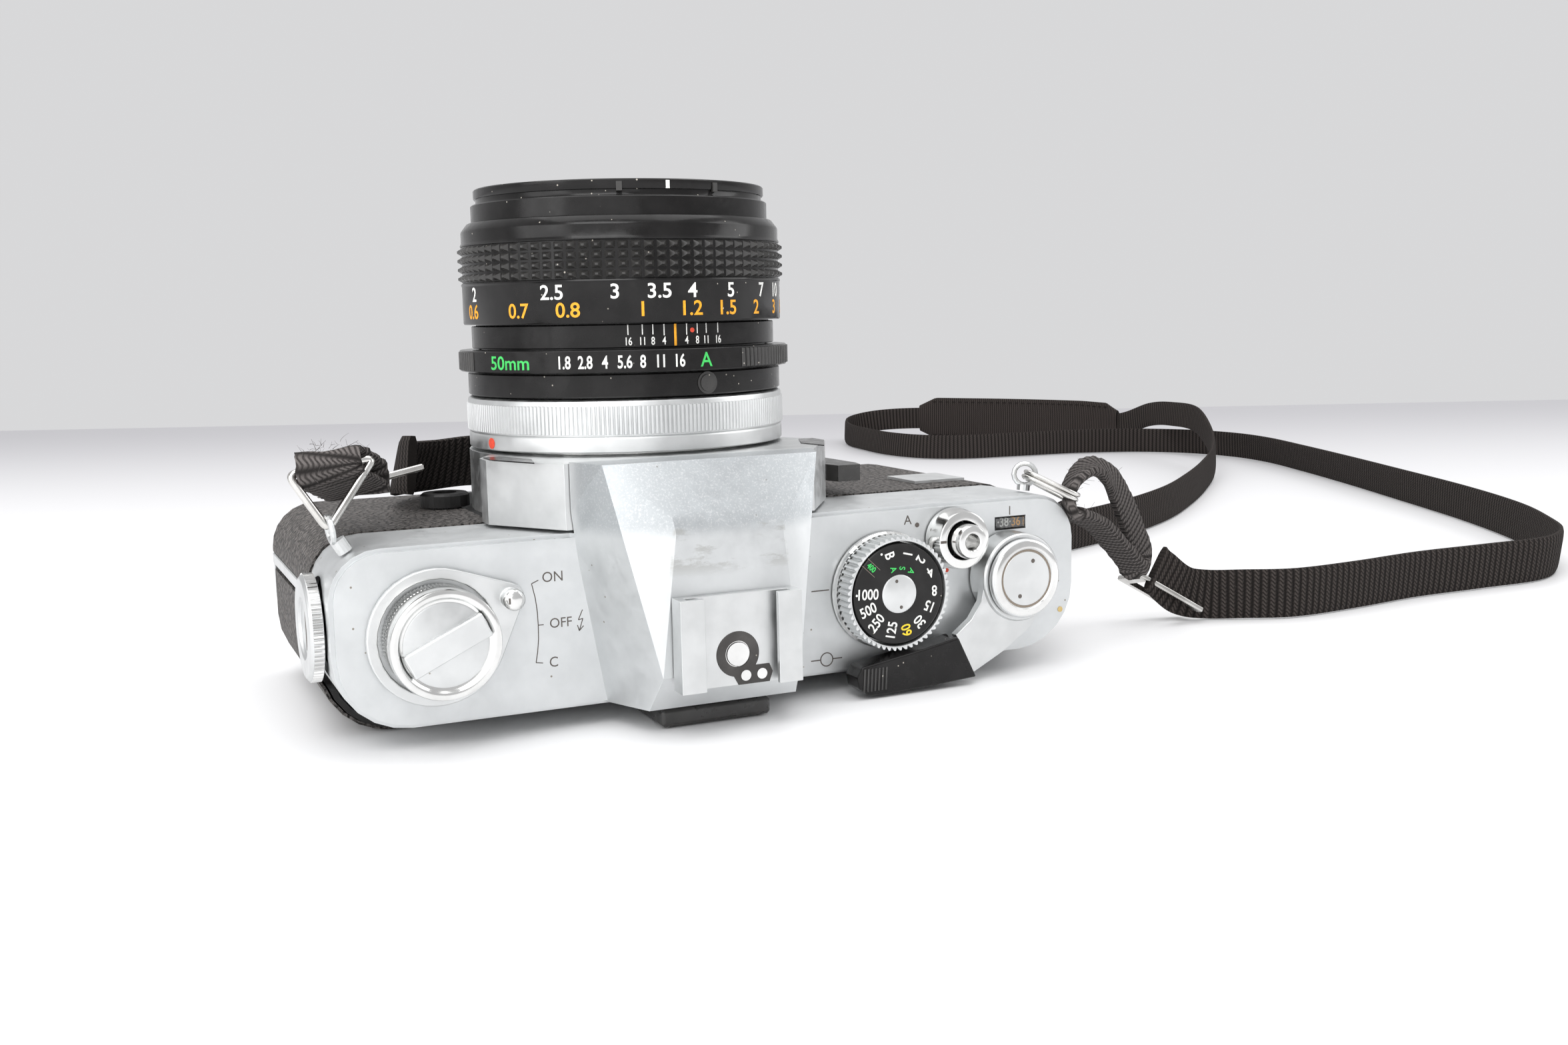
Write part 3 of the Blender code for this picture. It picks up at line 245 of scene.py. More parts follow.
def glass(name, tint, coat):
    s = Shader(name, tint, 0, 0.02)
    s.set("Transmission Weight", 1)
    s.set("IOR", 1.6)
    s.set("Specular Tint", (*coat, 1))
    s.set("Roughness", s.span(s.grain(6, 3), 0.3, 0.8, 0.01, 0.035))
    return s


def top_cover_chrome():
    """Satin chrome with a speckled housing front painted darker bluish grey as a painted reflection, and a
    worn smear on its roof.
    """
    s = chrome("cover_chrome", (0.635, 0.65, 0.655), (0.68, 0.695, 0.70), (0.46, 0.55), 0.006, 0.6)
    x, y, z = (s.axis(i) for i in range(3))
    high = s.span(y, -35.6, -37)
    front = s.times(high, s.span(z, 33.5, 36.5))
    inside = s.span(s.maths('ABSOLUTE', x), 23, 21)
    front = s.times(front, inside)
    speckle = s.times(front, s.span(s.grain(0.38, 2, 0.8), 0.5, 0.66))
    plated = s.bsdf.inputs["Base Color"].links[0].from_socket
    # painted reflection: the housing front is blended towards a darker bluish grey
    front_reflection_tone = s.blend(s.times(front, 0.55), plated, (0.36, 0.39, 0.41))
    greyed = s.blend(s.times(speckle, 0.35), front_reflection_tone, (0.80, 0.80, 0.80))
    smear = s.times(s.span(y, -50.2, -50.45), s.span(z, 27, 30))
    smear = s.times(smear, s.span(s.grain(3, 6, 0.7, (3, 3, 1)), 0.5, 0.62, 0, 0.6))
    s.set("Base Color", s.blend(smear, greyed, (0.42, 0.42, 0.40)))
    return s


LOOKS = {
    "cover": top_cover_chrome(),
    "satin": chrome("satin_chrome", (0.61, 0.62, 0.62), (0.68, 0.69, 0.69), (0.32, 0.44), 0.005, 0.5),
    "bright": chrome("bright_chrome", (0.66, 0.66, 0.65), (0.78, 0.78, 0.77), (0.12, 0.20), 0.0015, 0.35),
    "pale": chrome("pale_plate", (0.66, 0.67, 0.67), (0.73, 0.74, 0.74), (0.36, 0.46), 0.004, 0.3),
    "steel": chrome("steel_wire", (0.46, 0.45, 0.43), (0.66, 0.65, 0.63), (0.12, 0.22), 0.003, 1),
    "brass": chrome("brass", (0.52, 0.38, 0.16), (0.72, 0.56, 0.27), (0.22, 0.36), 0.003),
    "cast": chrome("cast_metal", (0.05, 0.05, 0.05), (0.10, 0.10, 0.10), (0.48, 0.62), 0.03),
    "black": black_paint("black_metal", (0.009, 0.0085, 0.0085), (0.30, 0.44), 0.5),
    "gloss": black_paint("black_gloss", (0.006, 0.0055, 0.0055), (0.14, 0.24), 1, 0.004, 0.26),
    "plastic": black_paint("black_plastic", (0.022, 0.021, 0.020), (0.26, 0.40), 0.9, 0.008, 0.6),
    "insulator": black_paint("shoe_insulation", (0.050, 0.047, 0.045), (0.5, 0.7), 0.3),
    "matt": black_paint("black_matt", (0.006, 0.006, 0.006), (0.7, 0.85)),
    "leather": leatherette(),
    "webbing": webbing("webbing", (0.046, 0.039, 0.036), 1.8, 0.9),
    "worn": webbing("worn_webbing", (0.115, 0.104, 0.100), 1.5, 0.9),
    "pad": webbing("strap_pad", (0.060, 0.050, 0.046), 1.1, 1.1),
    "fibre": Shader("lint_fibre", (0.085, 0.078, 0.075), 0, 0.9),
    "coated": glass("coated_glass", (0.93, 0.95, 1), (0.80, 0.62, 1)),
    "clear": glass("clear_glass", (0.97, 0.98, 0.97), (1, 1, 1)),
    "mirror": chrome("mirror_silver", (0.90, 0.90, 0.90), (0.93, 0.93, 0.93), (0.02, 0.05), 0),
    "curtain": black_paint("shutter_cloth", (0.016, 0.016, 0.018), (0.7, 0.85), 0, 0.03),
    "white": paint("mark_white", (0.86, 0.86, 0.83)),
    "orange": paint("mark_orange", (0.90, 0.40, 0.012)),
    "yellow": paint("mark_yellow", (0.92, 0.66, 0.03)),
    "green": paint("mark_green", (0.05, 0.60, 0.12)),
    "red": paint("mark_red", (0.78, 0.07, 0.03)),
    "engraved": paint("mark_engraved", (0.10, 0.085, 0.075)),
    "grime": paint("grime", (0.23, 0.19, 0.15)),
}


def table_top():
    s = Shader("table_top", (0.80, 0.80, 0.80), 0, 0.5)
    # painted shade: the table top darkens with distance from the camera, from near white close by to mid
    # grey at its far edge
    far = s.span(s.axis(1), 330, 1000)
    s.set("Base Color", s.blend(far, (0.82, 0.82, 0.825), (0.46, 0.455, 0.475)))
    s.bump(s.grain(1.6, 3), 0.01)
    return s


# ================================================================ mesh helpers
def added(name, data):
    """A new object in the scene."""
    obj = bpy.data.objects.new(name, data)
    bpy.context.scene.collection.objects.link(obj)
    return obj


def dress(mesh, look, angle):
    """Give a mesh its material, and smooth shading up to an angle between faces."""
    mesh.materials.clear()
    mesh.materials.append(LOOKS[look].material)
    mesh.shade_smooth()
    mesh.set_sharp_from_angle(angle=math.radians(angle))


def finished(name, mesh, look, body, slot=None, angle=35, nodes=()):
    """Put a mesh in the scene as a piece that rides on a body and may stand for frame nodes."""
    obj = added(name, mesh)
    dress(mesh, look, angle)
    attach(obj, body)
    for node in nodes:
        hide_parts(node)
    return obj


def mesh_of(name, points, faces, merge=None):
    """A mesh from points in millimetres, with its normals facing out and close points merged."""
    mesh = bpy.data.meshes.new(name)
    mesh.from_pydata([Vector(p) * MM for p in points], [], faces)
    bm = bmesh.new()
    bm.from_mesh(mesh)
    bmesh.ops.recalc_face_normals(bm, faces=bm.faces)
    if merge:
        bmesh.ops.remove_doubles(bm, verts=bm.verts, dist=merge)
    bm.to_mesh(mesh)
    bm.free()
    return mesh


def on_lens(x, y, z):
    """Local coordinates are the frame's own."""
    return Vector((x, y, z))


def on_deck(x, z):
    """Maps local (x, y, height) to the top plate, about a point of it."""
    return lambda u, v, h: Vector((x + u, DECK_Y - h, z + v))


def on_base(x, z):
    return lambda u, v, h: Vector((x + u, BASE_Y + h, z - v))


def on_left(y, z):
    return lambda u, v, h: Vector((LEFT_X - h, y + v, z + u))


def lathe(profile, sides, place, closed):
    """Points and faces of a profile (radius, height) turned about local z."""
    points, faces = [], []
    rows = len(profile)
    for i in range(sides):
        angle = math.tau * i / sides
        for radius, height in profile:
            points.append(place(radius * math.cos(angle), radius * math.sin(angle), height))
    for i in range(sides):
        j = (i + 1) % sides
        for k in range(rows if closed else rows - 1):
            m = (k + 1) % rows
            faces.append((i * rows + k, j * rows + k, j * rows + m, i * rows + m))
    if not closed:
        for k in (0, rows - 1):
            faces.append(tuple(i * rows + k for i in range(sides)))
    return points, faces


def turned(name, profile, look, body, slot=None, place=on_lens, sides=128, closed=True, nodes=()):
    finished(name, mesh_of(name, *lathe(profile, sides, place, closed)), look, body, slot, nodes=nodes)


def blocks(name, solids, look, body, slot=None, angle=35):
    """One piece of many closed solids, each a ring of base points and a ring of top points."""
    points, faces = [], []
    for base, top in solids:
        start, n = len(points), len(base)
        points += list(base) + list(top)
        faces.append(tuple(range(start, start + n)))
        faces.append(tuple(range(start + n, start + 2 * n)))
        for i in range(n):
            j = (i + 1) % n
            faces.append((start + i, start + j, start + n + j, start + n + i))
    finished(name, mesh_of(name, points, faces), look, body, slot, angle)


def flat_solid(outline, low, high, place):
    return ([place(u, v, low) for u, v in outline], [place(u, v, high) for u, v in outline])


def marks(name, outlines, low, high, place, look, body, slot=None):
    """A piece of flat solids that share a face and a height."""
    blocks(name, [flat_solid(outline, low, high, place) for outline in outlines], look, body, slot)


def mark(name, outline, *rest):
    marks(name, [outline], *rest)


def box(u0, v0, u1, v1):
    return [(u0, v0), (u1, v0), (u1, v1), (u0, v1)]


def disc(u, v, radius, sides=24):
    return [(u + radius * math.cos(math.tau * i / sides), v + radius * math.sin(math.tau * i / sides))
        for i in range(sides)]


def holes(radius, size, *degrees):
    """Discs on a circle, at angles."""
    angles = [math.radians(a) for a in degrees]
    return [disc(radius * math.cos(a), radius * math.sin(a), size) for a in angles]


def bar(u0, v0, u1, v1, width):
    """Outline of a straight stroke."""
    a, b = Vector((u0, v0)), Vector((u1, v1))
    side = (b - a).normalized().orthogonal() * width / 2
    return [tuple(a - side), tuple(b - side), tuple(b + side), tuple(a + side)]


def softened(node, look, width, segments=3, angle=28):
    """A copy of a frame solid with rounded edges, which stands for it."""
    source, name = NODES[node], node + "_soft"
    bm = bmesh.new()
    bm.from_mesh(source.data)
    bmesh.ops.remove_doubles(bm, verts=bm.verts, dist=2e-6)
    bmesh.ops.dissolve_limit(bm, angle_limit=math.radians(0.8), verts=bm.verts, edges=bm.edges)
    mesh = bpy.data.meshes.new(name)
    bm.to_mesh(mesh)
    bm.free()
    obj = finished(name, mesh, look, source["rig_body"], angle=angle, nodes=[node])
    edge = obj.modifiers.new("rounded", 'BEVEL')
    edge.width = width * MM
    edge.segments = segments
    edge.limit_method = 'ANGLE'
    edge.angle_limit = math.radians(angle)
    edge.harden_normals = True


def around_lens(radius, degrees, z):
    """Maps local (u right, v up, h out) to a cylinder about the lens axis."""
    def place(u, v, h):
        turn = math.radians(degrees) + u / radius
        return Vector(((radius + h) * math.sin(turn), -(radius + h) * math.cos(turn), z + v))
    return place


def on_dial(radius, degrees, twist=None, lift=DIAL_TOP):
    """Maps local (u, v, h) to a mark on the shutter dial, which reads outwards if it has no twist."""
    angle, spin = math.radians(degrees), math.radians(degrees - 180 if twist is None else twist)
    cx = DIAL[0] + radius * math.cos(angle)
    cz = DIAL[1] + radius * math.sin(angle)

    def place(u, v, h):
        return Vector((cx + u * math.cos(spin) - v * math.sin(spin), DECK_Y - lift - h,
            cz + u * math.sin(spin) + v * math.cos(spin)))
    return place


FONT_CACHE = {}


def glyphs(text, size, weight):
    """A word as a thin closed mesh centred on its own origin, in millimetres."""
    key = (text, size, weight)
    if key not in FONT_CACHE:
        curve = bpy.data.curves.new("word", 'FONT')
        curve.body = text
        curve.size = size
        curve.align_x, curve.align_y = 'CENTER', 'CENTER'
        curve.extrude = 0.03
        curve.offset = weight
        curve.resolution_u = 4
        obj = added("word", curve)
        bpy.context.view_layer.update()
        mesh = bpy.data.meshes.new_from_object(obj.evaluated_get(bpy.context.evaluated_depsgraph_get()))
        points = [tuple(v.co) for v in mesh.vertices]
        faces = [tuple(p.vertices) for p in mesh.polygons]
        bpy.data.objects.remove(obj, do_unlink=True)
        bpy.data.curves.remove(curve)
        bpy.data.meshes.remove(mesh)
        FONT_CACHE[key] = (points, faces)
    return FONT_CACHE[key]


def lettering(name, words, look, body):
    """Words as one piece. Each is (text, size, place, weight, width)."""
    points, faces = [], []
    for text, size, place, weight, width in words:
        made, polygons = glyphs(text, size, weight)
        start = len(points)
        points += [place(x * width, y, z) for x, y, z in made]
        faces += [tuple(start + i for i in polygon) for polygon in polygons]
    finished(name, mesh_of(name, points, faces, 1e-6), look, body)


def lens_scale(name, marks, size, radius, height, weight, width, look, body):
    """Numbers round the lens at one height, each at its angle."""
    words = [(text, size, around_lens(radius, a, height), weight, width) for text, a in marks]
    lettering(name, words, look, body)


# ================================================================ camera, light and floor
VIEW_YAW, VIEW_PITCH, VIEW_ROLL = 0.433, -0.139, -0.02
VIEW_PLACE = Vector((-97.58, -283.02, 71.21)) * MM
VIEW_FOCAL, SENSOR = 35.15, 36   # in millimetres
TABLE_DEPTH = 1.03               # from the camera to the table's far edge


def camera():
    right = Vector((math.cos(VIEW_YAW), -math.sin(VIEW_YAW), 0))
    ahead = Vector((math.sin(VIEW_YAW), math.cos(VIEW_YAW), 0))
    up = Vector((0, 0, 1))
    forward = ahead * math.cos(VIEW_PITCH) + up * math.sin(VIEW_PITCH)
    above = up * math.cos(VIEW_PITCH) - ahead * math.sin(VIEW_PITCH)
    side = right * math.cos(VIEW_ROLL) + above * math.sin(VIEW_ROLL)
    above = above * math.cos(VIEW_ROLL) - right * math.sin(VIEW_ROLL)
    data = bpy.data.cameras.new("view")
    data.lens, data.sensor_width = VIEW_FOCAL, SENSOR
    data.clip_start, data.clip_end = 0.01, 50
    obj = added("view", data)
    obj.matrix_world = Matrix((side, above, -forward)).transposed().to_4x4()
    obj.location = VIEW_PLACE
    bpy.context.scene.camera = obj
    return ahead, right


def table_surface(ahead, right):
    """A table top whose far edge makes the horizon."""
    corners = box(-2.6, -2.5, 2.6, TABLE_DEPTH)
    mesh = bpy.data.meshes.new("table")
    mesh.from_pydata([(*corner, 0) for corner in corners], [], [(0, 1, 2, 3)])
    mesh.materials.append(table_top().material)
    obj = added("table", mesh)
    obj.matrix_world = Matrix((right, ahead, Vector((0, 0, 1)))).transposed().to_4x4()
    obj.location = (VIEW_PLACE.x, VIEW_PLACE.y, 0)


def softbox(name, place, target, size, power):
    light = bpy.data.lights.new(name, 'AREA')
    light.shape = 'RECTANGLE'
    light.size, light.size_y = size
    light.energy = power
    obj = added(name, light)
    obj.location = place
    obj.rotation_euler = (Vector(target) - Vector(place)).to_track_quat('-Z', 'Y').to_euler()


def studio():
    world = bpy.data.worlds.new("studio")
    world.use_nodes = True
    background = world.node_tree.nodes["Background"]
    background.inputs["Color"].default_value = (0.80, 0.80, 0.81, 1)
    background.inputs["Strength"].default_value = 0.86
    bpy.context.scene.world = world
    softbox("key", (-0.55, -0.75, 1.05), (0, 0, 0.02), (0.9, 0.7), 10)
    softbox("top", (0.1, 0.15, 1.35), (0.05, 0.05, 0), (1.5, 1.2), 10)
    softbox("front", (-0.85, -1.05, 0.32), (0, 0, 0.03), (1.9, 0.9), 4.5)
    softbox("left", (-1.25, -0.25, 0.45), (0, 0, 0.03), (0.9, 0.8), 4.5)
    softbox("side", (1.2, -0.35, 0.7), (0.05, 0, 0.03), (0.7, 0.9), 5)
    bpy.context.scene.view_settings.view_transform = 'Standard'


# ================================================================ lens
SQUARE = box(-1, -1, 1, 1)


def knurl_rows():
    """Truncated pyramids in rows round the focus ring."""
    count, low, high, rows = 83, 76.95, 83.6, 4
    base_r, top_r = 29.75, 30.8
    step, pitch = math.tau / count, (high - low) / rows
    solids = []
    for row in range(rows):
        z0 = low + row * pitch
        for i in range(count):
            a = i * step

            def ring(radius, shrink):
                da, dz = step * (0.5 - shrink), pitch * (0.5 - shrink)
                return [Vector((radius * math.cos(a + u * da), radius * math.sin(a + u * da),
                    z0 + pitch / 2 + v * dz)) for u, v in SQUARE]
            solids.append((ring(base_r, 0.02), ring(top_r, 0.39)))
    return solids


def upright_ribs(count, base_r, top_r, low, high, fill=0.5, span=(0, 360)):
    """Upright ribs round the lens between two angles, measured from -Y towards +X."""
    start, end = (math.radians(a - 90) for a in span)
    step = math.tau / count
    solids = []
    for i in range(count):
        a = start + i * step
        if a > end - 1e-6:
            break
        half = step * fill

        def ring(radius, width, trim):
            return [Vector((radius * math.cos(a + u * width), radius * math.sin(a + u * width),
                (low + trim if v < 0 else high - trim))) for u, v in SQUARE]
        solids.append((ring(base_r, half, 0), ring(top_r, half * 0.45, 0.12)))
    return solids


def focus_ring():
    turned("focus_sleeve", [(28.4, 87.9), (28.7, 87.9), (28.95, 87.75), (29.9, 86.5), (30, 86.2),
        (30, 84.3), (30.15, 84.05), (30.25, 83.85), (30.2, 83.65), (30, 83.55), (30, 77), (30.25, 76.85),
        (30.35, 76.6), (30.25, 76.4), (30.2, 76.2), (30.2, 69.55), (30.05, 69.3), (28.4, 69.3)], "gloss",
        "focus", "black_gloss", sides=192, nodes=["focus_ring"])
    blocks("focus_knurl", knurl_rows(), "plastic", "focus", "black_gloss", 20)
    feet = (("2", -81.5), ("2.5", -43), ("3", -21.5), ("3.5", -6.7), ("4", 5), ("5", 20.7), ("7", 37.8),
        ("10", 50.6), ("20", 66))
    metres = (("0.6", -83), ("0.7", -56.5), ("0.8", -37.5), ("1", -12.5), ("1.2", 4.3), ("1.5", 18.9),
        ("2", 34.2), ("3", 49.2), ("5", 64))
    lens_scale("feet_scale", feet, 3.6, FOCUS_R, 74.6, 0.05, 1.05, "white", "focus")
    lens_scale("metre_scale", metres, 3.6, FOCUS_R, 71.5, 0.05, 1.05, "orange", "focus")


def front_barrel():
    groove = []
    for i in range(5):
        z = 93.4 - i * 0.42
        groove += [(25.9, z), (25.75, z - 0.21)]
    steps = [(25 - i * 1.05 + 0.25 * (i % 2 == 0), 91 - i * 0.48) for i in range(6)]
    turned("front_sleeve", [(26.1, 94.1), (27.2, 94.1), (27.4, 93.9), (27.4, 92.6), (27.3, 92.4),
        (27, 92.3), (27, 91.5), (27.1, 91.35), (27.8, 91.25), (28, 91.05), (28, 76), (25.6, 76),
        (25.6, 83.4), (17, 83.4), (17, 87.5), (17.2, 87.7), (18.2, 87.9),
        (18.5, 88.1)] + steps[::-1] + [(25.9, 91.4)] + groove[::-1], "gloss", "lens_front", "black_gloss",
        sides=192, nodes=["front_barrel"])
    turned("front_retaining_ring", [(16.75, 87.75), (17.3, 88.05), (18.6, 88.2), (19, 88), (19, 87.6),
        (16.75, 87.3)], "plastic", "lens_front", "black_gloss")
    tabs = (-19, 19, -139, 161)
    rim = [flat_solid(box(-0.5, -0.9, 0.5, 0.7), -0.2, 0.35, around_lens(27.3, a, 92.9)) for a in tabs]
    blocks("bayonet_tabs", rim, "plastic", "lens_front", "black_gloss")
    mark("rim_index", box(-0.35, -0.7, 0.35, 0.7), -0.1, 0.05, around_lens(27.4, -1, 93.1), "white",
        "lens_front")


def dome(radius, edge, bulge, steps=14):
    """Half a lens surface, from its centre to its rim."""
    return [(radius * i / steps + 1e-4, edge + bulge * (1 - (i / steps) ** 2)) for i in range(steps + 1)]


def lens_glasses():
    """Front and rear glass, with the inner groups and the iris behind them."""
    for name, node, body, radius, front, rear in (
            ("front_glass", "front_element", "lens_front", 16.6, (86.2, 1.4), (84.2, -0.6)),
            ("rear_glass", "rear_element", "camera", 12.8, (52, 0.8), (46, -1))):
        profile = dome(radius, *front) + dome(radius, *rear)[::-1]
        turned(name, profile, "coated", body, "lens_glass", sides=96, closed=False, nodes=[node])
    turned("inner_group_front", dome(12.6, 76, 1.2) + dome(12.6, 72.4, 0.6)[::-1], "coated", "camera",
        "lens_glass", sides=72, closed=False)
    for name, outer, inner, low, high in (
            ("inner_baffle_front", 24.9, 12.7, 71.2, 71.9), ("inner_cell", 14.2, 12.7, 62, 71.1),
            ("inner_baffle_rear", 24.9, 9, 61, 61.8)):
        turned(name, [(outer, high), (outer, low), (inner, low), (inner, high)], "matt", "camera",
            "black_metal", sides=72)
    blades, count = [], 6
    outline = [(4.6, -7.4), (12, -7.4), (12.6, 0), (9, 7.2), (5.2, 5.8), (4.2, 0)]
    for i in range(count):
        turn = Matrix.Rotation(math.tau * i / count, 3, 'Z')
        low = 60 + i * 0.12
        blades.append(([turn @ Vector((x, y, low)) for x, y in outline],
            [turn @ Vector((x, y, low + 0.07)) for x, y in outline]))
    blocks("iris_blades", blades, "black", "camera", "black_metal")


def lens_barrel():
    turned("barrel_sleeve", [(25.2, 72), (27.75, 72), (27.9, 71.85), (27.9, 69.15), (28, 69.05),
        (28.65, 69), (28.8, 68.85), (28.8, 65.05), (28.65, 64.9), (27.2, 64.9), (27.2, 60.4), (29.6, 60.4),
        (29.8, 60.2), (29.8, 56.5), (29.6, 56.3), (26.3, 56.3), (26.3, 49.3), (21.2, 49.3), (21.2, 44),
        (13.2, 44), (13.2, 54), (25.2, 54)], "gloss", "camera", "black_metal", sides=192,
        nodes=["lens_barrel"])
    depth = (("16", -17.6), ("11", -12.6), ("8", -8.9), ("4", -4.9), ("4", 3.5), ("8", 7.7), ("11", 11.4),
        ("16", 16.5))
    lens_scale("depth_scale", depth, 1.95, BARREL_R, 65.95, 0.03, 0.72, "white", "camera")
    ticks = [(a, 66.95 if abs(a) < 6 else 67.15) for _, a in depth]
    blocks("depth_ticks", [flat_solid(box(-0.09, 0, 0.09, 68.9 - z), -0.03, 0.03,
        around_lens(BARREL_R, a, z)) for a, z in ticks], "white", "camera")
    mark("focus_index", box(-0.22, 0, 0.22, 3.8), -0.03, 0.04, around_lens(BARREL_R, -0.8, 65.1), "orange",
        "camera")
    mark("infrared_dot", disc(0, 0, 0.42), -0.03, 0.04, around_lens(BARREL_R, 5.7, 67.75), "red", "camera")
    blocks("lens_lock_button", [flat_solid(disc(0, 0, 2), -0.4, 0.25, around_lens(29.7, 10.1, 58.4)),
        flat_solid(disc(0, 0, 1.5), 0.2, 0.45, around_lens(29.7, 10.1, 58.4))], "plastic", "camera",
        "black_metal")


def aperture_ring():
    turned("aperture_sleeve", [(27.7, 64.6), (31.05, 64.6), (31.2, 64.45), (31.2, 60.85),
        (31.05, 60.7), (27.7, 60.7)], "gloss", "aperture", "black_gloss", sides=192,
        nodes=["aperture_ring"])
    grips = []
    for start, end in ((-98, -79), (24, 100), (112, 250)):
        grips += upright_ribs(170, 31.1, 31.5, 60.95, 64.4, 0.4, (start, end))
    blocks("aperture_grip", grips, "plastic", "aperture", "black_gloss", 20)
    stops = (("1.8", -38.9), ("2.8", -31.7), ("4", -25.3), ("5.6", -19), ("8", -13.2), ("11", -7.4),
        ("16", -1.2))
    lens_scale("aperture_scale", stops, 3.1, APERTURE_R, 62.45, 0.06, 0.70, "white", "aperture")
    lettering("aperture_auto", [("A", 3.6, around_lens(APERTURE_R, 8.4, 62.45), 0.03, 0.95),
        ("50mm", 3.4, around_lens(APERTURE_R, -60, 62.4), 0.04, 1.12)], "green", "aperture")


def breech_ring():
    turned("breech_sleeve", [(27, 55.95), (29.4, 55.95), (29.9, 55.7), (30.05, 55.4), (30.05, 49.6),
        (29.85, 49.4), (30, 49.2), (30.05, 49), (30.05, 46.8), (29.85, 46.6), (27, 46.6)], "satin",
        "breech_lock", "satin_chrome", sides=192, nodes=["breech_lock_ring"])
    blocks("breech_ribs", upright_ribs(240, 29.95, 30.3, 49.75, 54.9), "pale", "breech_lock",
        "satin_chrome", 20)
    mark("breech_dot", disc(0, 0, 1), -0.2, 0.06, around_lens(30.05, -73.9, 47.9), "red", "breech_lock")


# ================================================================ top plate
def ring_of_teeth(place, count, base_r, top_r, low, high, lean=0):
    """Teeth round a knob on any face, leaning one way for a saw-tooth edge."""
    solids = []
    step = math.tau / count
    for i in range(count):
        a = i * step

        def ring(radius, left, right):
            return [place(radius * math.cos(a + u), radius * math.sin(a + u), h)
                    for u, h in box(left, low, right, high)]
        solids.append((ring(base_r, -0.48 * step, 0.48 * step),
            ring(top_r, (-0.14 + lean) * step, (0.14 + lean) * step)))
    return solids


def shutter_dial():
    place = on_deck(*DIAL)
    turned("film_speed_collar", [(9.75, 5.9), (9.85, 6.05), (10, 6.05), (10.1, 5.9), (10.1, 2),
        (10, 1.85), (9.75, 1.85)], "pale", "film_speed_ring", "bright_chrome", place,
        nodes=["film_speed_ring"])
    blocks("film_speed_teeth", ring_of_teeth(place, 56, 10, 10.62, 2, 5.95, 0.2), "pale", "film_speed_ring",
        "bright_chrome", 20)
    turned("shutter_dial_face", [(0.01, 5.9), (9.1, 5.9), (9.3, 5.75), (9.35, 5.5), (9.35, 1.85),
        (2.2, 1.85), (2.2, -3.5), (0.01, -3.5)], "black", "speed_dial", "black_metal", place, closed=False,
        nodes=["shutter_speed_dial"])
    turned("shutter_dial_hub", [(0.01, 6.2), (3.3, 6.2), (3.55, 6.05), (3.6, 5.8), (0.01, 5.8)],
        "pale", "speed_dial", "satin_chrome", place, 64, False)
    marks("shutter_hub_holes", holes(2.5, 0.33, 104, -83), 6.15, 6.215, place, "engraved", "speed_dial")
    speeds = (("1000", 177), ("500", 202), ("250", 227), ("125", 257), ("30", 308), ("15", 336), ("8", 0),
        ("4", 28), ("2", 53), ("1", 76), ("B", 105))
    radius = {1: 7.5, 2: 7.1, 3: 6.9, 4: 6.55}
    lettering("speed_numbers", [(t, 2.75, on_dial(radius[len(t)], a), 0.045, 0.84) for t, a in speeds],
        "white", "speed_dial")
    lettering("speed_sync", [("60", 2.75, on_dial(7.1, 283), 0.045, 0.84)], "yellow", "speed_dial")
    letters = (("A", 104), ("S", 82), ("A", 57))
    lettering("film_speed_letters", [(t, 1.7, on_dial(4.75, a), 0.02, 0.9) for t, a in letters], "green",
        "speed_dial")
    lettering("film_speed_number", [("400", 1.5, on_dial(7.8, 137, lift=5.93), 0.03, 0.85)], "green",
        "speed_dial")
    window = on_dial(7.8, 137)
    marks("film_speed_window", [bar(-1.7, y, 1.7, y, 0.09) for y in (-0.85, 0.85)], -0.02, 0.03, window,
        "grime", "speed_dial")
    blocks("speed_dots", [flat_solid(disc(0, 0, 0.22), -0.02, 0.03, on_dial(r, a, 0))
        for r, a in ((8.4, 115), (8.75, 177))], "white", "speed_dial")


def release_side():
    place = on_deck(*RELEASE)
    turned("release_collar_ring", [(3.75, 4.9), (3.85, 5), (5, 5), (5.35, 4.8), (5.5, 4.4),
        (5.6, 2.2), (5.75, 1.9), (5.75, 0.35), (3.75, 0.35)], "bright", "release_collar", "bright_chrome",
        place, 96, nodes=["release_lock_collar"])
    turned("release_button_cap", [(0.01, 3.6), (1, 3.9), (1.3, 4.4), (1.45, 6.6), (1.55, 7.8),
        (1.75, 8), (2.5, 8), (2.95, 7.8), (3.2, 7.3), (3.25, 6.8), (3.25, -2), (0.01, -2)], "bright",
        "release_button", "bright_chrome", place, 96, False, nodes=["release_button"])
    mark("collar_index", bar(-5.2, 0, -3.95, 0, 0.5), 4.9, 5.03, place, "engraved", "release_collar")
    lever = on_deck(*LEVER)
    turned("lever_cap_disc", [(0.01, 7), (5.15, 7), (5.3, 6.85), (5.5, 6.85), (5.7, 7.15), (7, 7.15),
        (7.4, 6.95), (7.6, 6.6), (7.6, 5.95), (0.01, 5.95)], "pale", "advance_lever", "bright_chrome",
        lever, closed=False, nodes=["lever_cap"])
    turned("lever_cap_rim", [(5.75, 7.1), (5.9, 7.3), (6.9, 7.3), (7.2, 7.1)], "bright",
        "advance_lever", "bright_chrome", lever)
    marks("lever_cap_holes", holes(3.6, 0.42, 66, 246), 6.95, 7.02, lever, "engraved", "advance_lever")
    turned("lever_cap_grime", [(5.2, 6.98), (5.32, 7.02), (5.55, 7.02), (5.62, 6.98)], "grime",
        "advance_lever", place=lever)
    softened("advance_lever", "satin", 0.35)
    softened("lever_tip", "gloss", 0.55, 4)
    starts = [29.2 + i * 0.75 for i in range(7)]
    marks("lever_tip_ribs", [bar(u, 1.6, u + 0.25, 5.8, 0.32) for u in starts], 6.9, 7.12, on_deck(0, 0),
        "plastic", "advance_lever", "black_plastic")


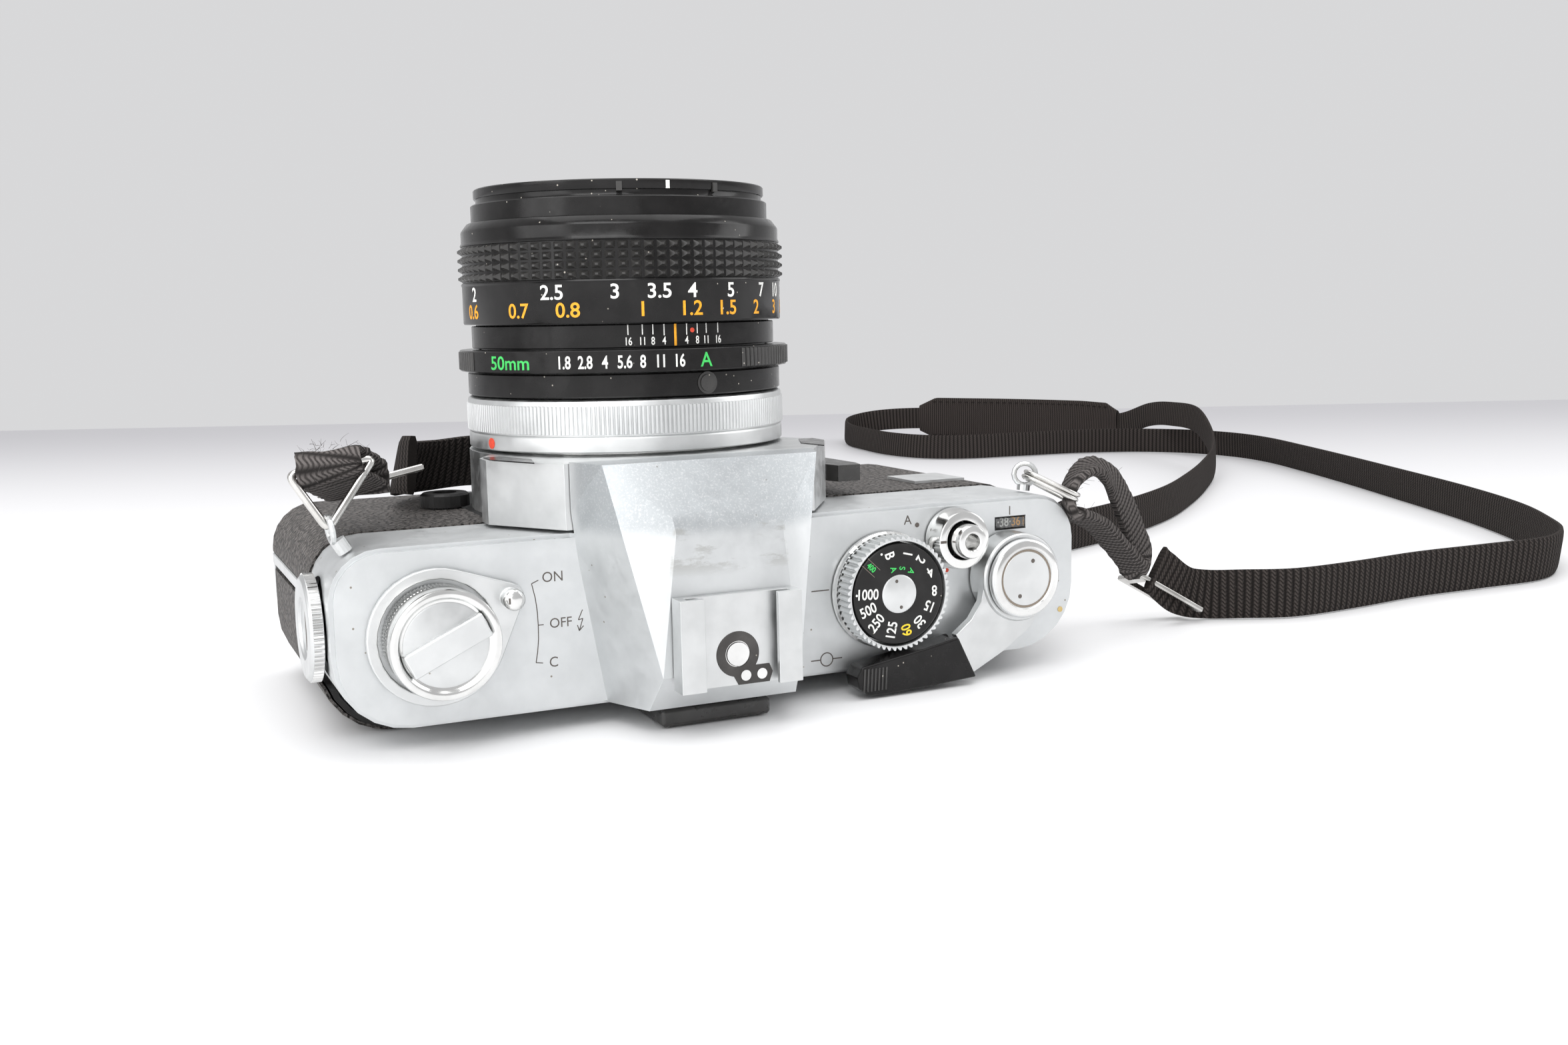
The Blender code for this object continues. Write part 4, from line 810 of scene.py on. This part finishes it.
def rewind_side():
    place = on_deck(*REWIND)
    turned("rewind_knob_cup", [(0.01, 7.75), (7.2, 7.75), (7.45, 7.85), (7.75, 8.3), (7.95, 8.4),
        (8.6, 8.4), (8.95, 8.2), (9.1, 7.8), (9.1, 4.8), (8.95, 4.4), (8.75, 4), (8.7, 0.4), (2.6, 0.4),
        (2.6, -2), (0.01, -2)], "bright", "rewind", "bright_chrome", place, closed=False,
        nodes=["rewind_knob"])
    turned("rewind_knob_disc", [(0.01, 7.95), (6.7, 7.95), (6.95, 7.85), (7, 7.7), (0.01, 7.7)],
        "satin", "rewind", "satin_chrome", place, 96, False)
    blocks("rewind_knob_grip", ring_of_teeth(place, 90, 8.65, 8.95, 0.8, 3.8), "bright", "rewind",
        "bright_chrome", 20)
    softened("rewind_crank", "pale", 0.22)
    softened("meter_switch", "pale", 0.3)
    stub = on_deck(-34, 24.5)
    turned("switch_stub", [(0.01, 5), (0.9, 4.95), (1.5, 4.7), (1.8, 4.3), (1.85, 3.85),
        (0.01, 3.85)], "bright", "meter_switch", "bright_chrome", stub, 48, False)
    mark("switch_slot", bar(-1, -0.5, -1, 0.5, 0.3), 4.7, 5, stub, "engraved", "meter_switch")
    flat = on_deck(0, 0)
    lettering("switch_words", [("ON", 2.5, on_deck(-26.2, 27), 0, 0.95),
        ("OFF", 2.4, on_deck(-25.1, 19), 0, 0.95), ("C", 2.5, on_deck(-26.6, 12.3), 0, 0.95)], "engraved",
        "camera")
    arc = [(-29.9, 26.2), (-29.35, 23.6), (-29.1, 21.2), (-29.05, 19), (-29.1, 16.6), (-29.35, 14.4),
        (-29.7, 12.6)]
    strokes = list(zip(arc, arc[1:])) + [((-29.9, 26.2), (-28.7, 26.7)), ((-29.05, 19), (-28.1, 19)),
        ((-29.7, 12.6), (-28.5, 12.4))]
    bolt = [(-21.2, 20.9), (-22, 19.2), (-21.2, 19.35), (-21.9, 17.3)]
    strokes += list(zip(bolt, bolt[1:])) + [((-21.9, 17.3), (-22.2, 18.3)), ((-21.9, 17.3), (-21.1, 18.1))]
    lines = [bar(*a, *b, 0.16) for a, b in strokes]
    marks("switch_strokes", lines, -0.01, 0.03, flat, "engraved", "camera")


def deck_marks():
    flat = on_deck(0, 0)
    circle = [(25.2 + 1.25 * math.cos(math.tau * i / 20), 6.8 + 1.25 * math.sin(math.tau * i / 20))
        for i in range(21)]
    strokes = list(zip(circle, circle[1:]))
    strokes += [((22, 6.8), (23.95, 6.8)), ((26.45, 6.8), (28.4, 6.8)), ((22.3, 19.8), (25.9, 19.8)),
        ((65.2, 30.8), (65.2, 32.5))]
    lines = [bar(*a, *b, 0.22) for a, b in strokes]
    marks("deck_strokes", lines, -0.01, 0.03, flat, "engraved", "camera")
    lettering("lock_letter", [("A", 2.5, on_deck(42.6, 31.4), 0, 1)], "engraved", "camera")
    mark("lock_dot", disc(44.6, 30.4, 0.45), -0.01, 0.05, flat, "engraved", "camera")
    mark("timer_dot", disc(51.05, 21.2, 0.4), -0.01, 0.05, flat, "red", "camera")
    mark("deck_rivet", disc(77, 11, 0.55), -0.01, 0.12, flat, "brass", "camera")
    frame_bars = [bar(61.8, z, 68.8, z, 0.18) for z in (28.05, 30.45)]
    marks("counter_frame", frame_bars, -1.3, 0.03, flat, "matt", "camera", "black_metal")
    lettering("counter_white", [("·38·", 2.5, on_deck(64.6, 29.2), 0.03, 0.85)], "white", "frame_counter")
    lettering("counter_orange", [("36", 2.5, on_deck(67.3, 29.2), 0.03, 0.85)], "orange", "frame_counter")
    for name in ("counter_white", "counter_orange"):
        bpy.data.objects[name].data.transform(Matrix.Translation((0, 1.36 * MM, 0)))


def accessory_shoe():
    softened("hot_shoe", "satin", 0.25)
    place = on_deck(*SHOE_CONTACT)
    turned("shoe_insulator", [(2.25, 17.3), (2.25, 17.62), (3.75, 17.62), (3.95, 17.45)], "insulator",
        "camera", "black_plastic", place, 64)
    pad = [(-0.2, -2.2), (5.7, -2.2), (6.3, -3.6), (5.7, -5.3), (0, -5.3), (-0.8, -3.8)]
    mark("shoe_contact_bed", pad, 17.45, 17.6, place, "insulator", "camera", "black_plastic")
    contacts = [disc(u, -3.75, 0.92) for u in (1.3, 4.25)]
    marks("shoe_small_contacts", contacts, 17.5, 17.85, place, "bright", "camera", "bright_chrome")
    leaves = [box(s * 6.9, -4.6, s * 9.1, 9) for s in (-1, 1)]
    marks("shoe_springs", leaves, 18.45, 18.7, place, "satin", "camera", "satin_chrome")


# ================================================================ ends, front, base and back
def battery_cover():
    place = on_left(*BATTERY)
    blocks("battery_cap_reeding", ring_of_teeth(place, 64, 8.9, 9.2, 0.5, 2.1), "bright", "battery_cap",
        "bright_chrome", 20)
    softened("battery_cap", "satin", 0.2)
    mark("battery_cap_slot", bar(-3.9, 0, 3.9, 0, 1.3), 2, 2.12, place, "engraved", "battery_cap")


def front_fittings():
    plate = box(60.5, -6.5, 72.5, 5.5)
    mark("blank_badge", plate, 34.4, 34.95, on_lens, "pale", "camera", "satin_chrome")
    insert = [(27.4, -31), (32.4, -20.8), (32.4, -15.8), (29.4, -15.8), (26, -24)]
    inserts = [[(s * x, y) for x, y in insert] for s in (-1, 1)]
    marks("shoulder_inserts", inserts, 45.95, 46.15, on_lens, "gloss", "camera", "black_metal")
    mark("timer_screw", disc(39.5, 6, 2.6), 40.9, 41.25, on_lens, "bright", "self_timer", "bright_chrome")
    mark("timer_slot", bar(37.6, 6, 41.4, 6, 0.5), 41.15, 41.27, on_lens, "engraved", "self_timer")


def base_fittings():
    thread = [(3.15 + 0.2 * (i % 2), -1 - 0.6 * i) for i in range(10)]
    turned("tripod_thread", thread + [(3.5, -6.8), (3.5, -0.9)], "steel", "camera", "steel_wire",
        on_base(*TRIPOD), 48)
    for i, (x, z) in enumerate(((-54, 10), (-54, 27.5), (38, 27), (71.5, 10.5))):
        mark(f"base_screw_{i + 1}", disc(0, 0, 1.7), -0.05, 0.3, on_base(x, z), "bright", "camera",
            "bright_chrome")
        mark(f"base_screw_slot_{i + 1}", bar(-1, 0.35 * i - 0.5, 1, 0.5 - 0.35 * i, 0.35), 0.25, 0.31,
            on_base(x, z), "engraved", "camera")
    lettering("rewind_mark", [("R", 2.6, on_base(50.5, 19), 0, 1)], "engraved", "camera")


def door_inside():
    """Rivets that hold the pressure plate."""
    rivets = [disc(x, y, 1.1) for x in (-20, 20) for y in (-9, 9)]
    marks("plate_rivets", rivets, 6.55, 6.85, on_lens, "brass", "pressure_plate")


# ================================================================ rings and strap
def tangent_at(points, i, closed):
    """The direction of a path at one of its points."""
    before = points[i - 1] if (closed or i) else points[i]
    after = points[(i + 1) % len(points)] if (closed or i < len(points) - 1) else points[i]
    return (after - before).normalized()


def swept_faces(count, rows, closed, shift=0):
    """Faces between the rings of points along a path, with caps if it is open."""
    faces = []
    for i in range(count if closed else count - 1):
        j, turn = (i + 1) % count, shift if i == count - 1 else 0
        for k in range(rows):
            m = (k + 1) % rows
            faces.append((i * rows + k, i * rows + m, j * rows + (m + turn) % rows,
                j * rows + (k + turn) % rows))
    if not closed:
        faces += [tuple(range(rows)), tuple(range((count - 1) * rows, count * rows))]
    return faces


def curve_point(a, b, c, d, t):
    """A point between b and c on the smooth curve through all four."""
    bend, twist = 2 * a - 5 * b + 4 * c - d, 3 * b - a - 3 * c + d
    return 0.5 * ((2 * b) + (c - a) * t + bend * t * t + twist * t ** 3)


def tube(name, points, radius, closed=True, sides=12, nodes=()):
    """A round steel wire through points in millimetres."""
    verts, normal = [], None
    for i, p in enumerate(points):
        tangent = tangent_at(points, i, closed)
        if normal is None:
            normal = tangent.orthogonal()
        normal = (normal - tangent * normal.dot(tangent)).normalized()
        across = tangent.cross(normal)
        for k in range(sides):
            a = math.tau * k / sides
            verts.append(p + (normal * math.cos(a) + across * math.sin(a)) * radius)
    shift = 0
    if closed:
        first = [(verts[k] - verts[-sides]).length for k in range(sides)]
        shift = first.index(min(first))
    faces = swept_faces(len(points), sides, closed, shift)
    finished(name, mesh_of(name, verts, faces), "steel", "camera", "steel_wire", 60, nodes)


LEFT_EYE = (-61.4, -28, 37)
LEFT_RING = ((-66.7, -24.6, 46), (-52.8, -24, 47.9))
RIGHT_EYE = (73.2, -28.2, 37.6)
RIGHT_RING_END = (81, -34.6, 32.6)


def left_wire_ring():
    """Triangular wire ring with rounded corners and its overlapping ends."""
    corners = [Vector(p) for p in (LEFT_EYE, *LEFT_RING)]
    points = []
    for i, corner in enumerate(corners):
        before = (corners[i - 1] - corner).normalized()
        after = (corners[(i + 1) % 3] - corner).normalized()
        for step in range(11):
            t = step / 10
            points.append(corner + before * 1.6 * (1 - t) ** 2 + after * 1.6 * t ** 2)
    dense = []
    for a, b in zip(points, points[1:] + points[:1]):
        parts = max(1, round((b - a).length / 0.9))
        dense += [a.lerp(b, k / parts) for k in range(parts)]
    tube("left_wire_ring", dense, 0.7, nodes=["left_ring"])
    a, b, c = corners
    along = (b - a).normalized()
    side = along.cross((c - a).normalized()) * 1.05
    leg = [a + along * t + side * min(1, (t - 2) / 1.5) for t in (2.6, 3.4, 4.4, 5.6, 7)]
    tube("left_ring_end", leg, 0.5, closed=False)


def right_split_ring():
    """Two coils of wire from the right lug outwards."""
    eye, end = Vector(RIGHT_EYE), Vector(RIGHT_RING_END)
    centre, long_axis = (eye + end) / 2, (end - eye)
    half = long_axis.length / 2
    long_axis.normalize()
    side = Vector((0.5, 0.85, -0.1))
    side = (side - long_axis * side.dot(long_axis)).normalized()
    normal = long_axis.cross(side)
    turns, steps = 2, 44
    points = []
    for i in range(turns * steps + 1):
        a = math.tau * i / steps
        c, s = math.cos(a), math.sin(a)
        x, y = (math.copysign(abs(v) ** 0.55, v) for v in (c, s))
        lift = (i / (turns * steps) - 0.5) * 1.9
        points.append(centre + long_axis * half * x + side * 4.2 * y + normal * lift)
    tube("right_split_ring", points, 0.46, closed=False, nodes=["right_ring"])


STRAP_Z = STRAP_W / 2 + 0.35
PAD_Z = PAD_W / 2 + 0.35


def lying(height, *places):
    """Points of a stretch that lies on its edge on the table."""
    return [(x, y, height) for x, y in places]


STRAP_ROUTE = [
    (-41, 4, 43.6), (-41.6, 12, 43), (-39.6, 22, 41.4), (-32, 32.5, 40.6), (-19, 39, 40.4),
    (-4, 44.5, 37), (14, 50.5, 28), (36, 55, 17), (62, 58.5, 8.5),
    *lying(STRAP_Z, (92, 61.5), (126, 67), (160, 79), (190, 93), (223, 114), (254, 140),
           (286, 170)),
    (316, 200, 7), (340, 229, 11), (356, 258, 18.4), (364, 284, 19.2), (368, 306, 17.6),
    *lying(PAD_Z, (368, 330), (362, 356), (350, 384), (334, 410), (315, 433)),
    (300, 446, 10.4), (287, 450, 8.6), (275, 441, 7),
    *lying(STRAP_Z, (266, 420), (260, 392), (257, 362), (262, 338), (277, 325), (304, 321),
           (334, 317), (358, 306), (374, 286), (379, 260), (374, 232), (360, 196), (342, 154),
           (322, 110), (300, 63), (280, 27), (262, 3), (247, -13), (231, -21), (210, -21.5),
           (188, -21.5), (166, -24), (148, -24.5), (137, -20), (129.6, -16)),
]
TUCKED_END = [(123.5, -15.2, 7.2), (118, -15.6, 11), (115.4, -16.2, 13.2)]
PAD_SPAN = (21, 25)              # the route's points where the shoulder pad starts and ends
LOOP_SPACING = 0.9               # between points of a doubled loop
RIBBED = 0.47                    # ribs stop this share of the width from the webbing's middle


def smooth_route(points, spacing):
    """A smooth curve through the points, sampled evenly every spacing millimetres."""
    pts = [Vector(p) for p in points]
    pts = [pts[0] * 2 - pts[1]] + pts + [pts[-1] * 2 - pts[-2]]
    dense = []
    for a, b, c, d in zip(pts, pts[1:], pts[2:], pts[3:]):
        for step in range(40):
            dense.append(curve_point(a, b, c, d, step / 40))
    dense.append(pts[-2])
    total = sum((b - a).length for a, b in zip(dense, dense[1:]))
    count = max(2, round(total / spacing))
    made, travelled = [], 0
    for a, b in zip(dense, dense[1:]):
        span = (b - a).length
        while len(made) <= count and travelled + span >= total * len(made) / count - 1e-6:
            made.append(a.lerp(b, (total * len(made) / count - travelled) / max(span, 1e-9)))
        travelled += span
    return made[:count] + [dense[-1]], total


def band_section(width, thick, bulge, columns=12):
    """Outline of webbing seen end on, as (across, out), with rounded edges."""
    half_w, half_t = width / 2, thick / 2
    upper = []
    for i in range(columns + 1):
        t = -1 + 2 * i / columns
        crown = half_t * (1 - abs(t) ** 6 * 0.45) + bulge * (1 - t * t)
        upper.append((t * half_w, crown))
    return upper + [(w, -o) for w, o in upper[::-1]]


def band(name, path, width, thick, look, nodes, lean=lambda t: 0, rib=1.8, bulge=0, fray=0, closed=False,
        stands=Vector((0, 0, 1)), depth=0.16, taper=lambda t: 1):
    """Webbing along a path, standing on its edge and leaning by an angle, with ribs across it."""
    section = band_section(width, thick, bulge)
    count = len(path)
    points, weave = [], []
    travelled = 0
    for i, p in enumerate(path):
        tangent, t = tangent_at(path, i, closed), i / (count - 1)
        up = (stands - tangent * stands.dot(tangent)).normalized()
        out = tangent.cross(up)
        cos, sin = math.cos(lean(t)), math.sin(lean(t))
        up, out = up * cos + out * sin, out * cos - up * sin
        swell = depth * (abs(math.sin(math.pi * travelled / rib)) - 0.5)
        scale = taper(t)
        for w, o in section:
            ragged = 1 + fray * random.uniform(-1, 1) / width
            rise = o + math.copysign(swell, o) * (abs(w) < width * RIBBED)
            points.append(p + up * w * scale * ragged + out * rise)
            weave.append((travelled, w))
        if i < count - 1:
            travelled += (path[i + 1] - p).length
    mesh = mesh_of(name, points, swept_faces(count, len(section), closed))
    layer = mesh.uv_layers.new(name="weave")
    for loop in mesh.loops:
        layer.data[loop.index].uv = weave[loop.vertex_index]
    return finished(name, mesh, look, "camera", "webbing", 50, nodes)


def lint(name, path, spread, count, length):
    """Loose fibres that stand off worn webbing."""
    points, faces, radius = [], [], 0.045
    for _ in range(count):
        root = random.choice(path) + Vector([random.uniform(-s, s) for s in spread])
        heading = Vector([random.gauss(0, 1) for _ in range(3)]).normalized()
        heading.z = abs(heading.z)
        curl = Vector([random.gauss(0, 0.35) for _ in range(3)])
        start, reach = len(points), length * random.uniform(0.4, 1)
        side = heading.orthogonal().normalized() * radius
        other = heading.cross(side).normalized() * radius
        for step in range(5):
            p = root + heading * reach * step / 4 + curl * reach * (step / 4) ** 2
            fine = 1 - 0.15 * step
            points += [p + side * fine, p + other * fine, p - side * fine - other * fine]
        for step in range(4):
            a = start + step * 3
            faces += [(a + k, a + (k + 1) % 3, a + 3 + (k + 1) % 3, a + 3 + k) for k in range(3)]
        faces += [(start, start + 1, start + 2), (start + 12, start + 13, start + 14)]
    finished(name, mesh_of(name, points, faces), "fibre", "camera", "webbing")


def strap():
    """The free strap: webbing from slider to slider, through a stitched shoulder pad."""
    whole, length = smooth_route(STRAP_ROUTE + TUCKED_END, 0.6)

    def nearest(point):
        return min(range(len(whole)), key=lambda i: (whole[i] - Vector(point)).length_squared)

    first, last = (nearest(STRAP_ROUTE[i]) for i in PAD_SPAN)
    webbing_piece = band("neck_webbing", whole, STRAP_W, STRAP_T, "webbing",
        ["neck_strap_left", "neck_strap_right"],
        lambda t: 0.11 * math.sin(19 * t) + 0.30 * math.exp(-((t - 0.02) / 0.02) ** 2))
    pad_path = whole[first:last + 1:2]
    pad_piece = band("shoulder_pad", pad_path, PAD_W - 0.4, PAD_T * 0.62, "pad", ["strap_pad"], rib=1.1,
        bulge=0.55, depth=0.03, taper=lambda t: min(1, 0.62 + 5 * min(t, 1 - t)))
    for side in (-1, 1):
        stitches(pad_path, side)


def stitches(pad, side):
    """A row of thread along one edge of the shoulder pad, on both faces."""
    solids = []
    for i in range(6, len(pad) - 7, 3):
        a, b = pad[i], pad[i + 1] + (pad[i + 2] - pad[i + 1]) * 0.6
        tangent = (b - a).normalized()
        out = tangent.cross(Vector((0, 0, 1))).normalized()
        height = Vector((0, 0, side * PAD_W * 0.40))
        for face in (-1, 1):
            low, high = out * face * (PAD_T * 0.31 + 0.05), out * face * (PAD_T * 0.31 + 0.42)
            lift = Vector((0, 0, 0.16))
            base = [end + height + low + lift * up for end, up in ((a, -1), (b, -1), (b, 1), (a, 1))]
            top = [p - low + high for p in base]
            solids.append((base, top))
    blocks(f"pad_stitches_{'upper' if side > 0 else 'lower'}", solids, "pad", "camera", "webbing")


def loop_path(path, origin, run, rise):
    """A closed side view (run, rise) as evenly spaced points in space."""
    run, rise = Vector(run).normalized(), Vector(rise).normalized()
    corners = [Vector(origin) + run * u + rise * v for u, v in path]
    dense = []
    count = len(corners)
    for i in range(count):
        a, b, c, d = (corners[(i + k) % count] for k in (-1, 0, 1, 2))
        parts = max(2, round((c - b).length / LOOP_SPACING))
        for k in range(parts):
            dense.append(curve_point(a, b, c, d, k / parts))
    return dense


def strap_ends():
    """The doubled webbing at both rings, with its frayed cut ends and lint."""
    across = (Vector(LEFT_RING[1]) - Vector(LEFT_RING[0])).normalized()
    centre = (Vector(LEFT_RING[0]) + Vector(LEFT_RING[1])) / 2
    path = [(1.75 * math.cos(a), 1.75 * math.sin(a)) for a in (math.radians(90 + 30 * i) for i in range(7))]
    path += [(4, -1.9), (8, -1.8), (12, -1.7), (14.6, -1.6), (16, 0), (14.6, 1.6), (12, 1.7), (8, 1.9),
        (4, 1.95)]
    lies = centre, (0.42, 0.86, -0.28), (0, 0.1, 1)
    band("left_loop_webbing", loop_path(path, *lies), 10.4, 1.5, "worn", ["left_strap_loop"], closed=True,
        stands=across, fray=0.5, rib=1.5)
    bunched = Vector((0.55, 0.83, -0.1))
    path = [(-3, 0.4), (-2.4, -1.9), (0.6, -3), (11, -6.8), (21, -12.6), (30, -18.2), (32.6, -17.8),
        (33.2, -15.4), (30.8, -12), (24.5, -4.6), (17.5, 1.8), (11.5, 4.6), (6.4, 5.4), (1.8, 4.6),
        (-1.8, 2.8)]
    line = loop_path(path, Vector(RIGHT_RING_END) + bunched * 2.6, (0.87, 0.49, 0), (0, 0, 1))
    band("right_loop_webbing", line, 7, 1.9, "worn", ["right_strap_loop"],
        lean=lambda t: -0.72 * math.sin(math.pi * t) ** 0.5, closed=True, stands=bunched, fray=0.4, rib=1.5,
        bulge=0.2)
    lint("left_lint", loop_path([(0, 2.4), (2, 2.6), (4, 2.6), (2, -2.4), (0, -2.4)], *lies), (5, 3, 1.5),
        150, 1.6)
    lint("right_lint", [p for p in line if p.z > 26], (1.6, 1.6, 1), 150, 2)
    softened("left_slider", "steel", 0.25, 2)
    softened("right_slider", "steel", 0.25, 2)


# ================================================================ everything
CARRIED = {
    "cast": "body_casting", "satin": "base_plate door_edge_strip front_plate left_lug right_lug",
    "bright": "body_mount_ring shoe_contact dial_skirt tripod_socket rewind_button",
    "steel": "door_hinge_pin rewind_shaft sprocket left_slider right_slider",
    "black": "back_door pressure_plate mirror_box frame_counter_disc flash_socket",
    "plastic": "take_up_spool self_timer_lever",
    "leather": "door_leather front_leather_left front_leather_right",
    "clear": "focusing_screen pentaprism eyepiece_lens counter_window",
    "mirror": "reflex_mirror", "curtain": "shutter_curtain",
}


def carried_nodes():
    """Procedural materials on the frame solids that show as they are."""
    for look, names in CARRIED.items():
        for name in names.split():
            dress(NODES[name].data, look, 32)


table_surface(*camera())
studio()
carried_nodes()
softened("top_cover", "cover", 0.45)
softened("front_plate", "satin", 0.3, 2)
softened("base_plate", "satin", 0.3, 2)
for build in (focus_ring, front_barrel, lens_glasses, lens_barrel, aperture_ring, breech_ring, shutter_dial,
        release_side, rewind_side, deck_marks, accessory_shoe, battery_cover, front_fittings,
        base_fittings):
    build()
softened("eyepiece_frame", "plastic", 0.4)
for build in (door_inside, left_wire_ring, right_split_ring, strap, strap_ends):
    build()
